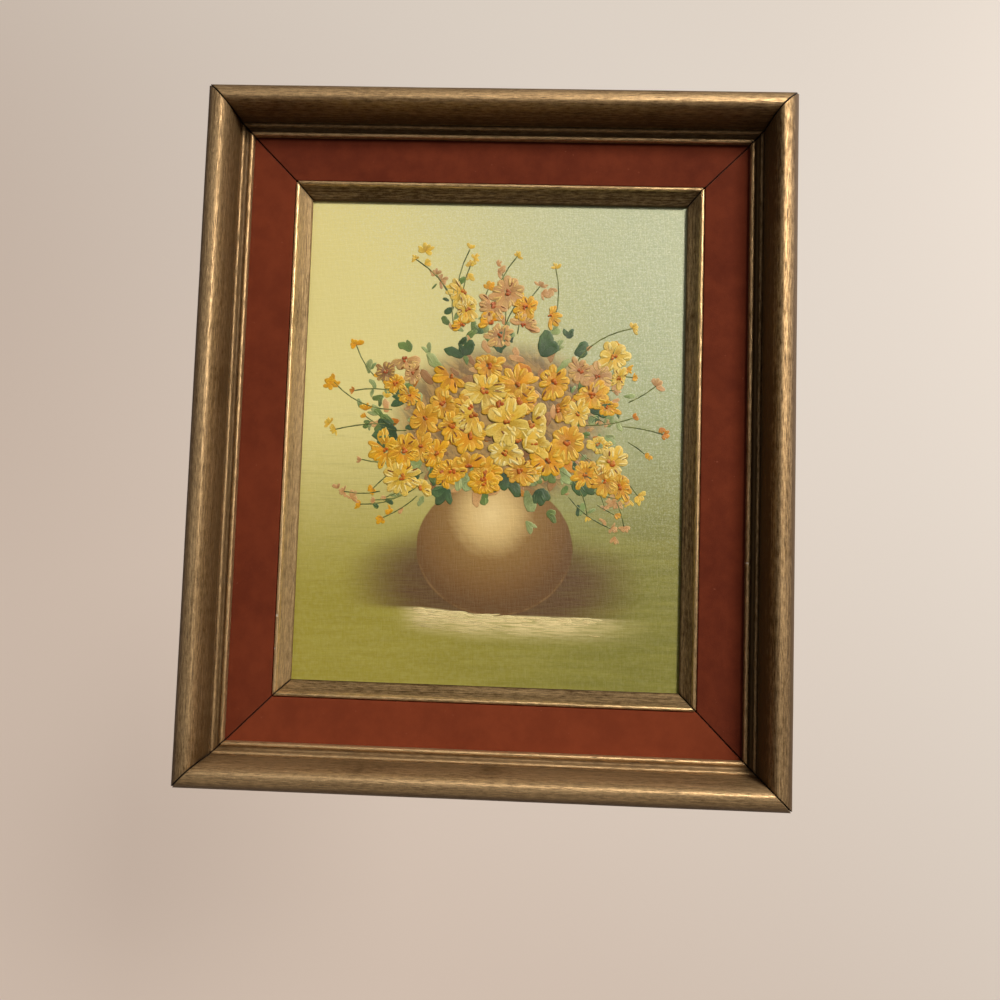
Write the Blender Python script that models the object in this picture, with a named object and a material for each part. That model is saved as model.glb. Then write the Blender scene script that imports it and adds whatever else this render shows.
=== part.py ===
"""Framed oil painting: a small stretched canvas in a gilt slip, a velvet liner and a bronze moulding.

Metres, +Z up. The picture faces -Y and hangs from the sawtooth hanger on its back. The origin is the
hanger's middle notch, in the plane of the wall. A profile is a list of (offset, height) pairs: offset
runs outwards from the rail's inner edge, and height runs forwards from the back of the frame.
"""

import math

import bmesh
import bpy
from mathutils import Vector

# Fits
FIT_GAP = 0.0003  # between two pieces that touch
MITRE_GAP = 0.0003  # across a mitre joint
CANVAS_PLAY = 0.0006  # round the canvas, inside the liner

# Canvas and stretcher
CANVAS_WIDTH = 0.2032
CANVAS_HEIGHT = 0.2540
CLOTH_THICKNESS = 0.0007
CLOTH_TURNOVER = 0.0140  # the hem that is folded onto the back of the bars
CANVAS_RECESS = 0.0004  # from the back of the frame to the hem
BAR_WIDTH = 0.0300
BAR_THICKNESS = 0.0095
BAR_FALL = 0.0025  # how far the bar's front slopes away from the cloth
BAR_RIM = 0.0035  # the part of the bar's front that carries the cloth

# Gilt slip
SLIP_FACE = 0.0068
SLIP_COVERS = 0.0088  # how much of the canvas the slip hides on each side
SLIP_EDGE = 0.0015  # the upright edge next to the picture
SLIP_RISE = 0.0080  # from the underside to the top of the bead
SLIP_BEAD = 0.0010  # bead radius
SLIP_FLANGE = 0.0017  # thickness of the tongue under the liner
SLIP_FLANGE_REACH = 0.0018

# Velvet liner
LINER_FACE = 0.0211  # the velvet that shows
LINER_THICKNESS = 0.0150
LINER_STEP = 0.0068  # the liner's face above the underside of the slip
LINER_ROUND = 0.0006

# Bronze moulding
RABBET = 0.0060  # how far the moulding's lip overhangs the liner
LIP_HEIGHT = 0.0030  # from the liner's face to the top of the lip bead
LIP_BEAD = 0.0010
GROOVE_WIDTH = 0.0023
GROOVE_DEPTH = 0.0011
INNER_BEAD = 0.00085
INNER_BEAD_RISE = 0.0006  # the inner bead above the lip bead
CROWN_INNER_WIDTH = 0.0044  # from the inner bead to the crest
CROWN_INNER_HEIGHT = 0.0176
CROWN_STEEP = 0.0120  # how long the side next to the bead keeps rising straight
CROWN_ROUND = 0.0029  # how long the crest stays level on that side
CROWN_OUTER_WIDTH = 0.0095  # from the crest to the outer side
CROWN_OUTER_HEIGHT = 0.0140
BACK_CHAMFER = 0.0008

# Sawtooth hanger and its nails
HANGER_LENGTH = 0.0450
HANGER_HEIGHT = 0.0090
HANGER_THICKNESS = 0.0008
HANGER_LIFT = 0.0016  # how far the toothed middle stands off the tabs
HANGER_TAB = 0.0070
HANGER_BEND = 0.0015
TOOTH_PITCH = 0.0024
TOOTH_DEPTH = 0.0014
TOOTH_COUNT = 10
NAIL_SHANK = 0.0006  # radii
NAIL_HEAD = 0.0016
NAIL_HEAD_HEIGHT = 0.0008
NAIL_LENGTH = 0.0080
NAIL_INSET = 0.0035  # from the hanger's end

ARC_STEPS = 8
ROUND_SIDES = 20

# Sizes that follow: the picture opening and the rectangles that each ring of rails is built round
SIGHT_WIDTH = CANVAS_WIDTH - 2 * SLIP_COVERS
SIGHT_HEIGHT = CANVAS_HEIGHT - 2 * SLIP_COVERS
LINER_INNER = SLIP_FACE + FIT_GAP
LIP_INNER = LINER_INNER + LINER_FACE
BAR_INNER = SLIP_COVERS - CLOTH_THICKNESS - FIT_GAP - BAR_WIDTH

# Heights that follow, from the back of the frame
HEM_BACK = CANVAS_RECESS
HEM_FRONT = HEM_BACK + CLOTH_THICKNESS
BAR_BACK = HEM_FRONT + FIT_GAP
BAR_FRONT = BAR_BACK + BAR_THICKNESS
CLOTH_BACK = BAR_FRONT + FIT_GAP
CLOTH_FRONT = CLOTH_BACK + CLOTH_THICKNESS
SLIP_BACK = CLOTH_FRONT + FIT_GAP
LINER_FRONT = SLIP_BACK + LINER_STEP
LINER_BACK = LINER_FRONT - LINER_THICKNESS
LIP_BACK = LINER_FRONT + FIT_GAP
LIP_TOP = LIP_BACK + LIP_HEIGHT - FIT_GAP

# The moulding's width across its face, lip to outer side
MOULDING_FACE = 2 * LIP_BEAD + GROOVE_WIDTH + 2 * INNER_BEAD + CROWN_INNER_WIDTH + CROWN_OUTER_WIDTH

# The hanger lies on the middle of the top rail's back, and its rear is the wall plane, Y = 0
FRAME_BACK = -(FIT_GAP + HANGER_LIFT + HANGER_THICKNESS)
RAIL_BACK_MIDDLE = (RABBET + MOULDING_FACE - BACK_CHAMFER) / 2
FRAME_CENTRE = HANGER_HEIGHT / 2 - TOOTH_DEPTH - RAIL_BACK_MIDDLE - LIP_INNER - SIGHT_HEIGHT / 2


def make_material(name, colour, roughness, metallic):
    material = bpy.data.materials.new(name)
    material.use_nodes = True
    shader = material.node_tree.nodes["Principled BSDF"]
    shader.inputs["Base Color"].default_value = (*colour, 1.0)
    shader.inputs["Roughness"].default_value = roughness
    shader.inputs["Metallic"].default_value = metallic
    material.diffuse_color = (*colour, 1.0)
    return material


def add_object(name, mesh, material, parent=None):
    ob = bpy.data.objects.new(name, mesh)
    if not mesh.materials:
        mesh.materials.append(material)
    bpy.context.collection.objects.link(ob)
    ob.parent = parent
    return ob


def mesh_from_bmesh(name, bm):
    bmesh.ops.recalc_face_normals(bm, faces=bm.faces)
    mesh = bpy.data.meshes.new(name)
    bm.to_mesh(mesh)
    bm.free()
    return mesh


# Profiles


def arc(centre, radius_across, radius_up, start, end):
    """Points on an ellipse from the start angle to the end angle, in degrees."""
    points = []
    for step in range(ARC_STEPS + 1):
        angle = math.radians(start + (end - start) * step / ARC_STEPS)
        points.append((centre[0] + radius_across * math.cos(angle), centre[1] + radius_up * math.sin(angle)))
    return points


def hollow(start, end, depth):
    """Points between two others, on a curve that sinks below the straight line; ends left out."""
    points = []
    run = Vector((end[0] - start[0], end[1] - start[1]))
    side = Vector((run.y, -run.x)).normalized()
    for step in range(1, ARC_STEPS):
        share = step / ARC_STEPS
        sink = 4 * depth * share * (1 - share)
        points.append((start[0] + run.x * share + side.x * sink, start[1] + run.y * share + side.y * sink))
    return points


def rounded_rise(start, end, rising, level):
    """Points on a curve that leaves start straight up and reaches end level; start left out."""
    first = (start[0], start[1] + rising)
    second = (end[0] - level, end[1])
    points = []
    for step in range(1, 2 * ARC_STEPS + 1):
        share = step / (2 * ARC_STEPS)
        rest = 1 - share
        weights = (rest**3, 3 * rest**2 * share, 3 * rest * share**2, share**3)
        corners = (start, first, second, end)
        points.append(tuple(sum(w * c[axis] for w, c in zip(weights, corners)) for axis in (0, 1)))
    return points


def moulding_profile():
    lip = arc((LIP_BEAD, LIP_TOP - LIP_BEAD), LIP_BEAD, LIP_BEAD, 180, 0)
    bead_middle = (lip[-1][0] + GROOVE_WIDTH + INNER_BEAD, LIP_TOP + INNER_BEAD_RISE - INNER_BEAD)
    bead = arc(bead_middle, INNER_BEAD, INNER_BEAD, 180, 0)
    crest = (bead[-1][0] + CROWN_INNER_WIDTH, bead[-1][1] + CROWN_INNER_HEIGHT)
    outer_middle = (crest[0], crest[1] - CROWN_OUTER_HEIGHT)
    outer_crown = arc(outer_middle, CROWN_OUTER_WIDTH, CROWN_OUTER_HEIGHT, 90, 0)
    return (
        [(RABBET, 0.0), (RABBET, LIP_BACK), (0.0, LIP_BACK)]
        + lip
        + hollow(lip[-1], bead[0], GROOVE_DEPTH)
        + bead
        + rounded_rise(bead[-1], crest, CROWN_STEEP, CROWN_ROUND)
        + outer_crown[1:]
        + [(MOULDING_FACE, BACK_CHAMFER), (MOULDING_FACE - BACK_CHAMFER, 0.0)]
    )


def liner_profile():
    wall = SLIP_COVERS + CANVAS_PLAY - LINER_INNER
    tongue_back = SLIP_BACK + SLIP_FLANGE + FIT_GAP
    outer = LINER_FACE + RABBET - FIT_GAP
    edge = arc((LINER_ROUND, LINER_FRONT - LINER_ROUND), LINER_ROUND, LINER_ROUND, 180, 90)
    return (
        [(wall, LINER_BACK), (wall, tongue_back), (0.0, tongue_back)]
        + edge
        + [(outer, LINER_FRONT), (outer, LINER_BACK)]
    )


def slip_profile():
    bead_middle = (SLIP_FACE - SLIP_BEAD, SLIP_BACK + SLIP_RISE - SLIP_BEAD)
    bead = arc(bead_middle, SLIP_BEAD, SLIP_BEAD, 180, 0)
    edge_top = (0.0, SLIP_BACK + SLIP_EDGE)
    flange_end = SLIP_FACE + SLIP_FLANGE_REACH
    flange_front = SLIP_BACK + SLIP_FLANGE
    return (
        [(0.0, SLIP_BACK), edge_top]
        + hollow(edge_top, bead[0], SLIP_BEAD / 4)
        + bead
        + [(SLIP_FACE, flange_front), (flange_end, flange_front), (flange_end, SLIP_BACK)]
    )


def bar_profile():
    return [
        (0.0, BAR_BACK),
        (0.0, BAR_FRONT - BAR_FALL),
        (BAR_WIDTH - BAR_RIM, BAR_FRONT - BAR_FALL / 4),
        (BAR_WIDTH - BAR_RIM / 2, BAR_FRONT),
        (BAR_WIDTH - BAR_RIM / 8, BAR_FRONT),
        (BAR_WIDTH, BAR_FRONT - BAR_RIM / 8),
        (BAR_WIDTH, BAR_BACK),
    ]


# Rails


def rail_mesh(name, profile, inner_length):
    """A straight rail along X whose ends are cut at 45 degrees, so it is longer further out."""
    bm = bmesh.new()
    cut = MITRE_GAP / math.sqrt(2)
    ends = []
    for sign in (-1, 1):
        ends.append([bm.verts.new((sign * (inner_length / 2 + o - cut), -h, o)) for o, h in profile])
    for a in range(len(profile)):
        b = (a + 1) % len(profile)
        bm.faces.new((ends[0][a], ends[0][b], ends[1][b], ends[1][a]))
    for end in ends:
        bm.faces.new(end)
    return mesh_from_bmesh(name, bm)


def add_ring(piece, profile, inner_offset, material, centre):
    """Four mitred rails round a rectangle that lies inner_offset outside the picture opening."""
    width = SIGHT_WIDTH + 2 * inner_offset
    height = SIGHT_HEIGHT + 2 * inner_offset
    sides = (
        ("top", width, (0, 0, height / 2), 0),
        ("right", height, (width / 2, 0, 0), 90),
        ("bottom", width, (0, 0, -height / 2), 180),
        ("left", height, (-width / 2, 0, 0), -90),
    )
    rails = {}
    for side, length, place, turn in sides:
        name = f"{piece}_{side}"
        rail = add_object(name, rail_mesh(name, profile, length), material, centre)
        rail.location = place
        rail.rotation_euler = (0, math.radians(turn), 0)
        rails[side] = rail
    return rails


# Canvas


def canvas_mesh():
    """One closed cloth: the picture, the sides over the bars and the hem on their back."""
    rings = (
        (0.0, CLOTH_FRONT),
        (0.0, HEM_BACK),
        (CLOTH_TURNOVER, HEM_BACK),
        (CLOTH_TURNOVER, HEM_FRONT),
        (CLOTH_THICKNESS, HEM_FRONT),
        (CLOTH_THICKNESS, CLOTH_BACK),
    )
    bm = bmesh.new()
    loops = []
    for inset, height in rings:
        across = CANVAS_WIDTH / 2 - inset
        up = CANVAS_HEIGHT / 2 - inset
        corners = ((-across, -up), (across, -up), (across, up), (-across, up))
        loops.append([bm.verts.new((x, -height, z)) for x, z in corners])
    for first, second in zip(loops, loops[1:]):
        for a in range(4):
            b = (a + 1) % 4
            bm.faces.new((first[a], first[b], second[b], second[a]))
    bm.faces.new(loops[0])
    bm.faces.new(loops[-1])
    return mesh_from_bmesh("canvas", bm)


# Hanger


def hanger_outline():
    """Columns of the hanger from left to right: place, lower edge, upper edge, height off the tabs."""
    top = HANGER_HEIGHT - TOOTH_DEPTH
    half = HANGER_LENGTH / 2
    bend_outer = half - HANGER_TAB
    bend_inner = bend_outer - HANGER_BEND
    corner = HANGER_HEIGHT / 4
    left = [
        (-half, corner - TOOTH_DEPTH, top - corner, 0.0),
        (-half + corner, -TOOTH_DEPTH, top, 0.0),
        (-bend_outer, -TOOTH_DEPTH, top, 0.0),
        (-bend_inner, -TOOTH_DEPTH, top, HANGER_LIFT),
    ]
    toothed = []
    for step in range(-TOOTH_COUNT, TOOTH_COUNT + 1):
        lower = 0.0 if step % 2 == 0 else -TOOTH_DEPTH
        toothed.append((step * TOOTH_PITCH / 2, lower, top, HANGER_LIFT))
    right = [(-x, lower, upper, lift) for x, lower, upper, lift in reversed(left)]
    return left + toothed + right


def hanger_mesh():
    """A steel strip whose middle is joggled off the wood, with its front face on the tabs' plane."""
    bm = bmesh.new()
    columns = []
    for x, lower, upper, lift in hanger_outline():
        column = [
            bm.verts.new((x, lift, lower)),
            bm.verts.new((x, lift, upper)),
            bm.verts.new((x, lift + HANGER_THICKNESS, upper)),
            bm.verts.new((x, lift + HANGER_THICKNESS, lower)),
        ]
        columns.append(column)
    for first, second in zip(columns, columns[1:]):
        for a in range(4):
            b = (a + 1) % 4
            bm.faces.new((first[a], first[b], second[b], second[a]))
    bm.faces.new(columns[0])
    bm.faces.new(columns[-1])
    return mesh_from_bmesh("hanger", bm)


def turned_mesh(name, outline):
    """A solid turned about Y from (radius, place along Y) pairs, closed flat at both ends."""
    bm = bmesh.new()
    rings = []
    for radius, along in outline:
        ring = []
        for side in range(ROUND_SIDES):
            angle = 2 * math.pi * side / ROUND_SIDES
            ring.append(bm.verts.new((radius * math.cos(angle), along, radius * math.sin(angle))))
        rings.append(ring)
    for first, second in zip(rings, rings[1:]):
        for a in range(ROUND_SIDES):
            b = (a + 1) % ROUND_SIDES
            bm.faces.new((first[a], first[b], second[b], second[a]))
    bm.faces.new(rings[0])
    bm.faces.new(rings[-1])
    return mesh_from_bmesh(name, bm)


def nail_mesh():
    """Its head's underside is at zero, and its shank runs to -Y."""
    point = NAIL_SHANK / 3
    outline = (
        (point, -NAIL_LENGTH),
        (NAIL_SHANK, -NAIL_LENGTH + 2 * NAIL_SHANK),
        (NAIL_SHANK, 0.0),
        (NAIL_HEAD, 0.0),
        (NAIL_HEAD, NAIL_HEAD_HEIGHT / 2),
        (NAIL_HEAD * 0.6, NAIL_HEAD_HEIGHT),
    )
    return turned_mesh("hanger_nail", outline)


def cut_nail_hole(target, name, place, length):
    """A hole for a shank, made by a hidden cutter that runs both ways from its place."""
    radius = NAIL_SHANK + FIT_GAP
    mesh = turned_mesh(name, ((radius, -length), (radius, length)))
    cutter = bpy.data.objects.new(name, mesh)
    bpy.context.collection.objects.link(cutter)
    cutter.location = place
    cutter.hide_render = True
    cutter.display_type = "WIRE"
    boolean = target.modifiers.new(name, "BOOLEAN")
    boolean.operation = "DIFFERENCE"
    boolean.object = cutter
    boolean.solver = "EXACT"


def add_hanger(top_rail, steel):
    tab_front = FRAME_BACK + FIT_GAP
    hanger = add_object("hanger", hanger_mesh(), steel)
    hanger.location = (0, tab_front, 0)
    head_under = tab_front + HANGER_THICKNESS + FIT_GAP
    nail = nail_mesh()
    across = HANGER_LENGTH / 2 - NAIL_INSET
    up = HANGER_HEIGHT / 2 - TOOTH_DEPTH
    hole_depth = NAIL_LENGTH + FIT_GAP
    for side, x in (("left", -across), ("right", across)):
        add_object(f"hanger_nail_{side}", nail, steel).location = (x, head_under, up)
        place = (x, head_under, up)
        cut_nail_hole(hanger, f"hanger_hole_{side}", place, hole_depth)
        cut_nail_hole(top_rail, f"rail_hole_{side}", place, hole_depth)


def build():
    for ob in list(bpy.data.objects):
        bpy.data.objects.remove(ob, do_unlink=True)

    bronze = make_material("bronze_gilt", (0.115, 0.068, 0.030), 0.42, 0.75)
    velvet = make_material("rust_velvet", (0.147, 0.023, 0.009), 0.95, 0.0)
    gilt = make_material("slip_gilt", (0.200, 0.120, 0.055), 0.45, 0.6)
    paint = make_material("painted_canvas", (0.480, 0.430, 0.190), 0.55, 0.0)
    pine = make_material("bare_pine", (0.560, 0.390, 0.210), 0.75, 0.0)
    steel = make_material("zinc_steel", (0.560, 0.560, 0.540), 0.35, 1.0)

    centre = bpy.data.objects.new("frame_centre", None)
    bpy.context.collection.objects.link(centre)
    centre.location = (0, FRAME_BACK, FRAME_CENTRE)

    moulding = add_ring("frame_rail", moulding_profile(), LIP_INNER, bronze, centre)
    add_ring("liner_rail", liner_profile(), LINER_INNER, velvet, centre)
    add_ring("slip_rail", slip_profile(), 0.0, gilt, centre)
    add_ring("stretcher_bar", bar_profile(), BAR_INNER, pine, centre)
    add_object("canvas", canvas_mesh(), paint, centre)
    add_hanger(moulding["top"], steel)


build()
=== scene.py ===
"""The looks of a small framed flower picture: gilt moulding, velvet liner, gilt slip, oil paint on cloth."""

import math
import random

import bpy
import bmesh
import numpy as np
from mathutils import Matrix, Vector


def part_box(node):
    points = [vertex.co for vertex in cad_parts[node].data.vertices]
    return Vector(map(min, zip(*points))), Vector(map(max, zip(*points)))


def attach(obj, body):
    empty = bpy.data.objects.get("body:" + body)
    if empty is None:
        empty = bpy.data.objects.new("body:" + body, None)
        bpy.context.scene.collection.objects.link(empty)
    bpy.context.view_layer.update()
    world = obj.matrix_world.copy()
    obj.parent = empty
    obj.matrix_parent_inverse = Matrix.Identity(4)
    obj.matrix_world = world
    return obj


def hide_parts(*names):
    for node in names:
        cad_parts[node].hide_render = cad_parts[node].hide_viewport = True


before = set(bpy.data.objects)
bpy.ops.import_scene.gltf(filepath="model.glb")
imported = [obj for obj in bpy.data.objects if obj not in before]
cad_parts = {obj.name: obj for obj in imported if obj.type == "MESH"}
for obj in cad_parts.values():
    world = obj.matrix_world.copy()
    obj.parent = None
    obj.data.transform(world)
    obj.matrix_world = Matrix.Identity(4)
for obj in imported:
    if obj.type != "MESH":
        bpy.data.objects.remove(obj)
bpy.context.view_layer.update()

MM = 0.001

# Rectangles of the frame, read from its solids: half sizes of each ring's inner edge
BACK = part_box("frame_rail_top")[1].y
CENTRE_UP = (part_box("frame_rail_top")[1].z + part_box("frame_rail_bottom")[0].z) / 2
LIP_HALF = (-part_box("frame_rail_left")[1].x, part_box("frame_rail_top")[0].z - CENTRE_UP)
LINER_HALF = (-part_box("liner_rail_left")[1].x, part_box("liner_rail_top")[0].z - CENTRE_UP)
SIGHT_HALF = (-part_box("slip_rail_left")[1].x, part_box("slip_rail_top")[0].z - CENTRE_UP)
CLOTH_HALF = (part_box("canvas")[1].x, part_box("canvas")[1].z - CENTRE_UP)
CLOTH_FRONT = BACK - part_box("canvas")[0].y
HEM_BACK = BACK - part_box("canvas")[1].y

# Profile sizes, as the solids have them
MITRE_GAP = 0.3 * MM
RABBET = 6.0 * MM
LIP_BEAD = 1.0 * MM
GROOVE_WIDTH = 2.3 * MM
GROOVE_DEPTH = 1.1 * MM
INNER_BEAD = 0.85 * MM
INNER_BEAD_RISE = 0.6 * MM
CROWN_INNER = (4.4 * MM, 17.6 * MM)
CROWN_STEEP = 12.0 * MM
CROWN_ROUND = 2.9 * MM
CROWN_OUTER = (9.5 * MM, 14.0 * MM)
BACK_CHAMFER = 0.8 * MM
LINER_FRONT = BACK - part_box("liner_rail_top")[0].y
LINER_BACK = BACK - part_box("liner_rail_top")[1].y
LINER_WALL = 2.3 * MM
LINER_ROUND = 0.6 * MM
LINER_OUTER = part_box("liner_rail_top")[1].z - CENTRE_UP - LINER_HALF[1]
TONGUE_BACK = 14.2 * MM
LIP_BACK = LINER_FRONT + 0.3 * MM
LIP_TOP = LINER_FRONT + 3.0 * MM
SLIP_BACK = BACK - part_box("slip_rail_top")[1].y
SLIP_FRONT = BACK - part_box("slip_rail_top")[0].y
SLIP_FACE = 6.8 * MM
SLIP_EDGE = 1.5 * MM
SLIP_BEAD = 1.0 * MM
SLIP_FLANGE = 1.7 * MM
SLIP_FLANGE_END = 8.6 * MM
CLOTH_THICKNESS = 0.6 * MM
HEM_WIDTH = 13.8 * MM

# How the rails are finished: an open mitre only in front, where it is seen, and dark at its edges
RAIL_STEP = 1.5 * MM
TIGHT_GAP = 0.04 * MM
SEEN_HEIGHT = 12.4 * MM
OUTER_RIM = 0.3 * MM
SEAM_WIDTH = 0.4 * MM
SEAM_DEPTH = 0.5 * MM
SHARP_ANGLE = math.radians(50)
FACE, BARE = 0, 1


def colour(red, green, blue):
    """A paint colour given as it looks on a screen, 0 to 255, turned into the light it reflects."""
    linear = []
    for part in (red, green, blue):
        share = part / 255
        linear.append(share / 12.92 if share <= 0.04045 else ((share + 0.055) / 1.055) ** 2.4)
    return (*linear, 1.0)


# Node trees written as sums


class Value:
    """One output of a node. Sums on it add Math nodes."""

    def __init__(self, tree, socket):
        self.tree = tree
        self.socket = socket

    def math(self, operation, first, second=None, third=None):
        inputs = {0: first, 1: second, 2: third}
        return self.tree.node("ShaderNodeMath", {"operation": operation}, inputs)

    def __add__(self, other):
        return self.math("ADD", self, other)

    __radd__ = __add__

    def __sub__(self, other):
        return self.math("SUBTRACT", self, other)

    def __rsub__(self, other):
        return self.math("SUBTRACT", other, self)

    def __mul__(self, other):
        return self.math("MULTIPLY", self, other)

    __rmul__ = __mul__

    def __truediv__(self, other):
        return self.math("DIVIDE", self, other)

    def __pow__(self, other):
        return self.math("POWER", self, other)

    def __neg__(self):
        return self.math("MULTIPLY", self, -1.0)

    def __abs__(self):
        return self.math("ABSOLUTE", self)

    def least(self, other):
        return self.math("MINIMUM", self, other)

    def most(self, other):
        return self.math("MAXIMUM", self, other)

    def sine(self):
        return self.math("SINE", self)

    def held(self):
        """The value kept between 0 and 1."""
        return self.tree.node("ShaderNodeClamp", {}, {"Value": self})

    def rise(self, low, high, bottom=0.0, top=1.0):
        """A smooth step from bottom at low to top at high."""
        inputs = {"Value": self, "From Min": low, "From Max": high, "To Min": bottom, "To Max": top}
        return self.tree.node("ShaderNodeMapRange", {"interpolation_type": "SMOOTHSTEP"}, inputs)


class Tree:
    """A node tree that is being written."""

    def __init__(self, nodes):
        self.tree = nodes

    def node(self, kind, settings=None, inputs=None, output=0):
        """Adds a node: its settings first, then the values or links of its sockets."""
        made = self.tree.nodes.new(kind)
        for name, value in (settings or {}).items():
            if name == "stops":
                set_stops(made.color_ramp, value)
            else:
                setattr(made, name, value)
        for name, value in (inputs or {}).items():
            if isinstance(value, Value):
                self.tree.links.new(value.socket, made.inputs[name])
            elif value is not None:
                made.inputs[name].default_value = value
        return Value(self, made.outputs[output])

    def vector(self, x, y, z=0.0):
        return self.node("ShaderNodeCombineXYZ", {}, {0: x, 1: y, 2: z})

    def parts(self, vector):
        """The three numbers of a vector."""
        split = self.node("ShaderNodeSeparateXYZ", {}, {0: vector}).socket.node
        return [Value(self, socket) for socket in split.outputs]

    def noise(self, vector, scale, detail=2.0, roughness=0.5, distortion=0.0):
        inputs = {
            "Vector": vector,
            "Scale": scale,
            "Detail": detail,
            "Roughness": roughness,
            "Distortion": distortion,
        }
        return self.node("ShaderNodeTexNoise", {}, inputs)


def set_stops(ramp, stops):
    """A colour ramp's stops, as (place, colour) pairs."""
    while len(ramp.elements) > 1:
        ramp.elements.remove(ramp.elements[-1])
    for step, (place, shade) in enumerate(stops):
        element = ramp.elements[0] if step == 0 else ramp.elements.new(place)
        element.position = place
        element.color = shade


class Finish(Tree):
    """A material."""

    def __init__(self, name):
        self.material = bpy.data.materials.new(name)
        self.material.use_nodes = True
        super().__init__(self.material.node_tree)
        self.shader = self.tree.nodes["Principled BSDF"]

    def place(self):
        return self.node("ShaderNodeTexCoord", {}, {}, "Object")

    def attribute(self, name, output="Fac"):
        return self.node("ShaderNodeAttribute", {"attribute_name": name}, {}, output)

    def mix(self, share, first, second, blend="MIX"):
        settings = {"data_type": "RGBA", "blend_type": blend, "clamp_factor": True}
        return self.node("ShaderNodeMix", settings, {0: share, 6: first, 7: second}, 2)

    def ramp(self, share, stops):
        return self.node("ShaderNodeValToRGB", {"stops": stops}, {0: share})

    def dress(self, base, roughness, metallic=0.0, relief=None, depth=0.0, **fixed):
        """Sets the shader. Relief is a height from 0 to 1 that stands depth metres high."""
        wanted = {"Base Color": base, "Roughness": roughness, "Metallic": metallic}
        if relief is not None:
            inputs = {"Height": relief, "Distance": depth, "Strength": 1.0}
            wanted["Normal"] = self.node("ShaderNodeBump", {}, inputs)
        for name, value in fixed.items():
            wanted[name.replace("_", " ")] = value
        for name, value in wanted.items():
            socket = self.shader.inputs[name]
            if isinstance(value, Value):
                self.tree.links.new(value.socket, socket)
            else:
                socket.default_value = value
        return self.material


# Finishes

# Knocked spots: millimetres across and up from the middle of the opening, and their size
CHIPS = ((-99.0, -87.0, 1.5), (-99.3, -102.7, 1.1), (121.6, -55.3, 1.3))


def chip_mask(finish, place):
    """Spots where the gilt is knocked off and the white ground shows."""
    ragged = finish.noise(place, 900.0, 3.0) * 0.9 * MM
    x, _, z = finish.parts(place)
    mask = None
    for across, up, size in CHIPS:
        dx = x - across * MM
        dz = z - (CENTRE_UP + up * MM)
        near = (dx * dx + dz * dz) ** 0.5 + ragged
        spot = near.rise((0.5 + 0.5 * size) * MM, (0.3 + 0.3 * size) * MM)
        mask = spot if mask is None else mask.most(spot)
    return mask


def gilt_finish(name, dull, gold, pore, streak_share, roughness, pore_share):
    """Bronze paint brushed along open-grained wood. How bright the gilt is comes from the section: 1 where
    dusters reach, lower in the hollows, and low where shade is painted in; each side is also painted
    brighter or duller as painted light.
    """
    f = Finish(name)
    place = f.place()
    along = f.attribute("along")
    across = f.attribute("across")
    rub_and_shade = f.attribute("rub_and_shade")
    lot = f.attribute("lot")
    bend = (f.noise(f.vector(along * 22.0, across * 60.0, lot * 9.0), 1.0, 1.0) - 0.5) * 1.6 * MM
    grain = across + bend
    streaks = f.noise(f.vector(along * 34.0, grain * 1500.0, lot * 7.0), 1.0, 4.0, 0.65)
    broad = f.noise(f.vector(along * 13.0, grain * 420.0, lot * 3.0), 1.0, 3.0)
    pores = f.noise(f.vector(along * 120.0, grain * 2600.0, lot * 5.0), 1.0, 2.0, 0.6).rise(0.55, 0.68)
    dashes = f.noise(f.vector(along * 230.0, grain * 1300.0, lot * 11.0), 1.0, 3.0, 0.6)
    tarnish = f.noise(place, 34.0, 5.0, 0.65)
    speck = f.noise(place, 1300.0, 2.0, 0.6)
    uneven = (streaks - 0.5) * streak_share * 1.6 + (broad - 0.5)
    uneven = uneven + (dashes - 0.5) * 1.9 + (speck - 0.5) * 0.5
    # Each side's painted light is added here, with the section's rubbing, painted highlight and painted
    # shade
    shine = rub_and_shade * 0.8 + f.attribute("painted_side_light") + uneven * (rub_and_shade * 0.75 + 0.25)
    shine = (shine - tarnish.rise(0.5, 0.78) * 0.2).held()
    base = f.mix(shine, dull, gold)
    base = f.mix(pores * pore_share, base, pore)
    seam = f.attribute("seam")
    base = f.mix(seam * 0.97, base, colour(20, 12, 5))
    chips = chip_mask(f, place)
    base = f.mix(chips, base, colour(226, 214, 196))
    rough = roughness + (1.0 - shine) * 0.14 + pores * 0.15 + chips * 0.3
    metallic = (0.9 - pores * 0.45 - (1.0 - rub_and_shade) * 0.45) * (1.0 - chips) * (1.0 - seam)
    relief = streaks * 0.5 + broad * 0.3 + dashes * 1.1 + speck * 0.3 - pores * 0.6 - chips * 1.5
    return f.dress(base, rough.held(), metallic.held(), relief, 0.12 * MM)


def velvet_finish():
    """Rust-red velvet: short pile that catches light at a slant, brushed in soft patches."""
    f = Finish("rust_velvet")
    place = f.place()
    painted_side_light = f.attribute("painted_side_light")
    patches = f.noise(place, 20.0, 3.0, 0.55)
    brushed = f.noise(place, 120.0, 4.0, 0.6)
    fibre = f.noise(place, 2600.0, 3.0, 0.7)
    lint = f.noise(place, 620.0, 2.0, 0.5).rise(0.73, 0.8)
    # The per-side value makes the bottom and left sides brighter: painted light for how the lamp catches the
    # pile
    share = patches.rise(0.25, 0.75) * 0.18 + brushed.rise(0.3, 0.7) * 0.16 + fibre * 0.3 + painted_side_light * 0.4
    base = f.mix(share.held(), colour(72, 24, 12), colour(138, 64, 36))
    base = f.mix(f.attribute("seam") * 0.8, base, colour(18, 6, 4))
    base = f.mix(lint * 0.25, base, colour(170, 104, 78))
    relief = fibre * 0.7 + brushed * 0.3
    return f.dress(
        base,
        0.94,
        0.0,
        relief,
        0.12 * MM,
        Sheen_Weight=0.14,
        Sheen_Roughness=0.4,
        Sheen_Tint=colour(230, 150, 122),
        Specular_IOR_Level=0.15,
    )


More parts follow.
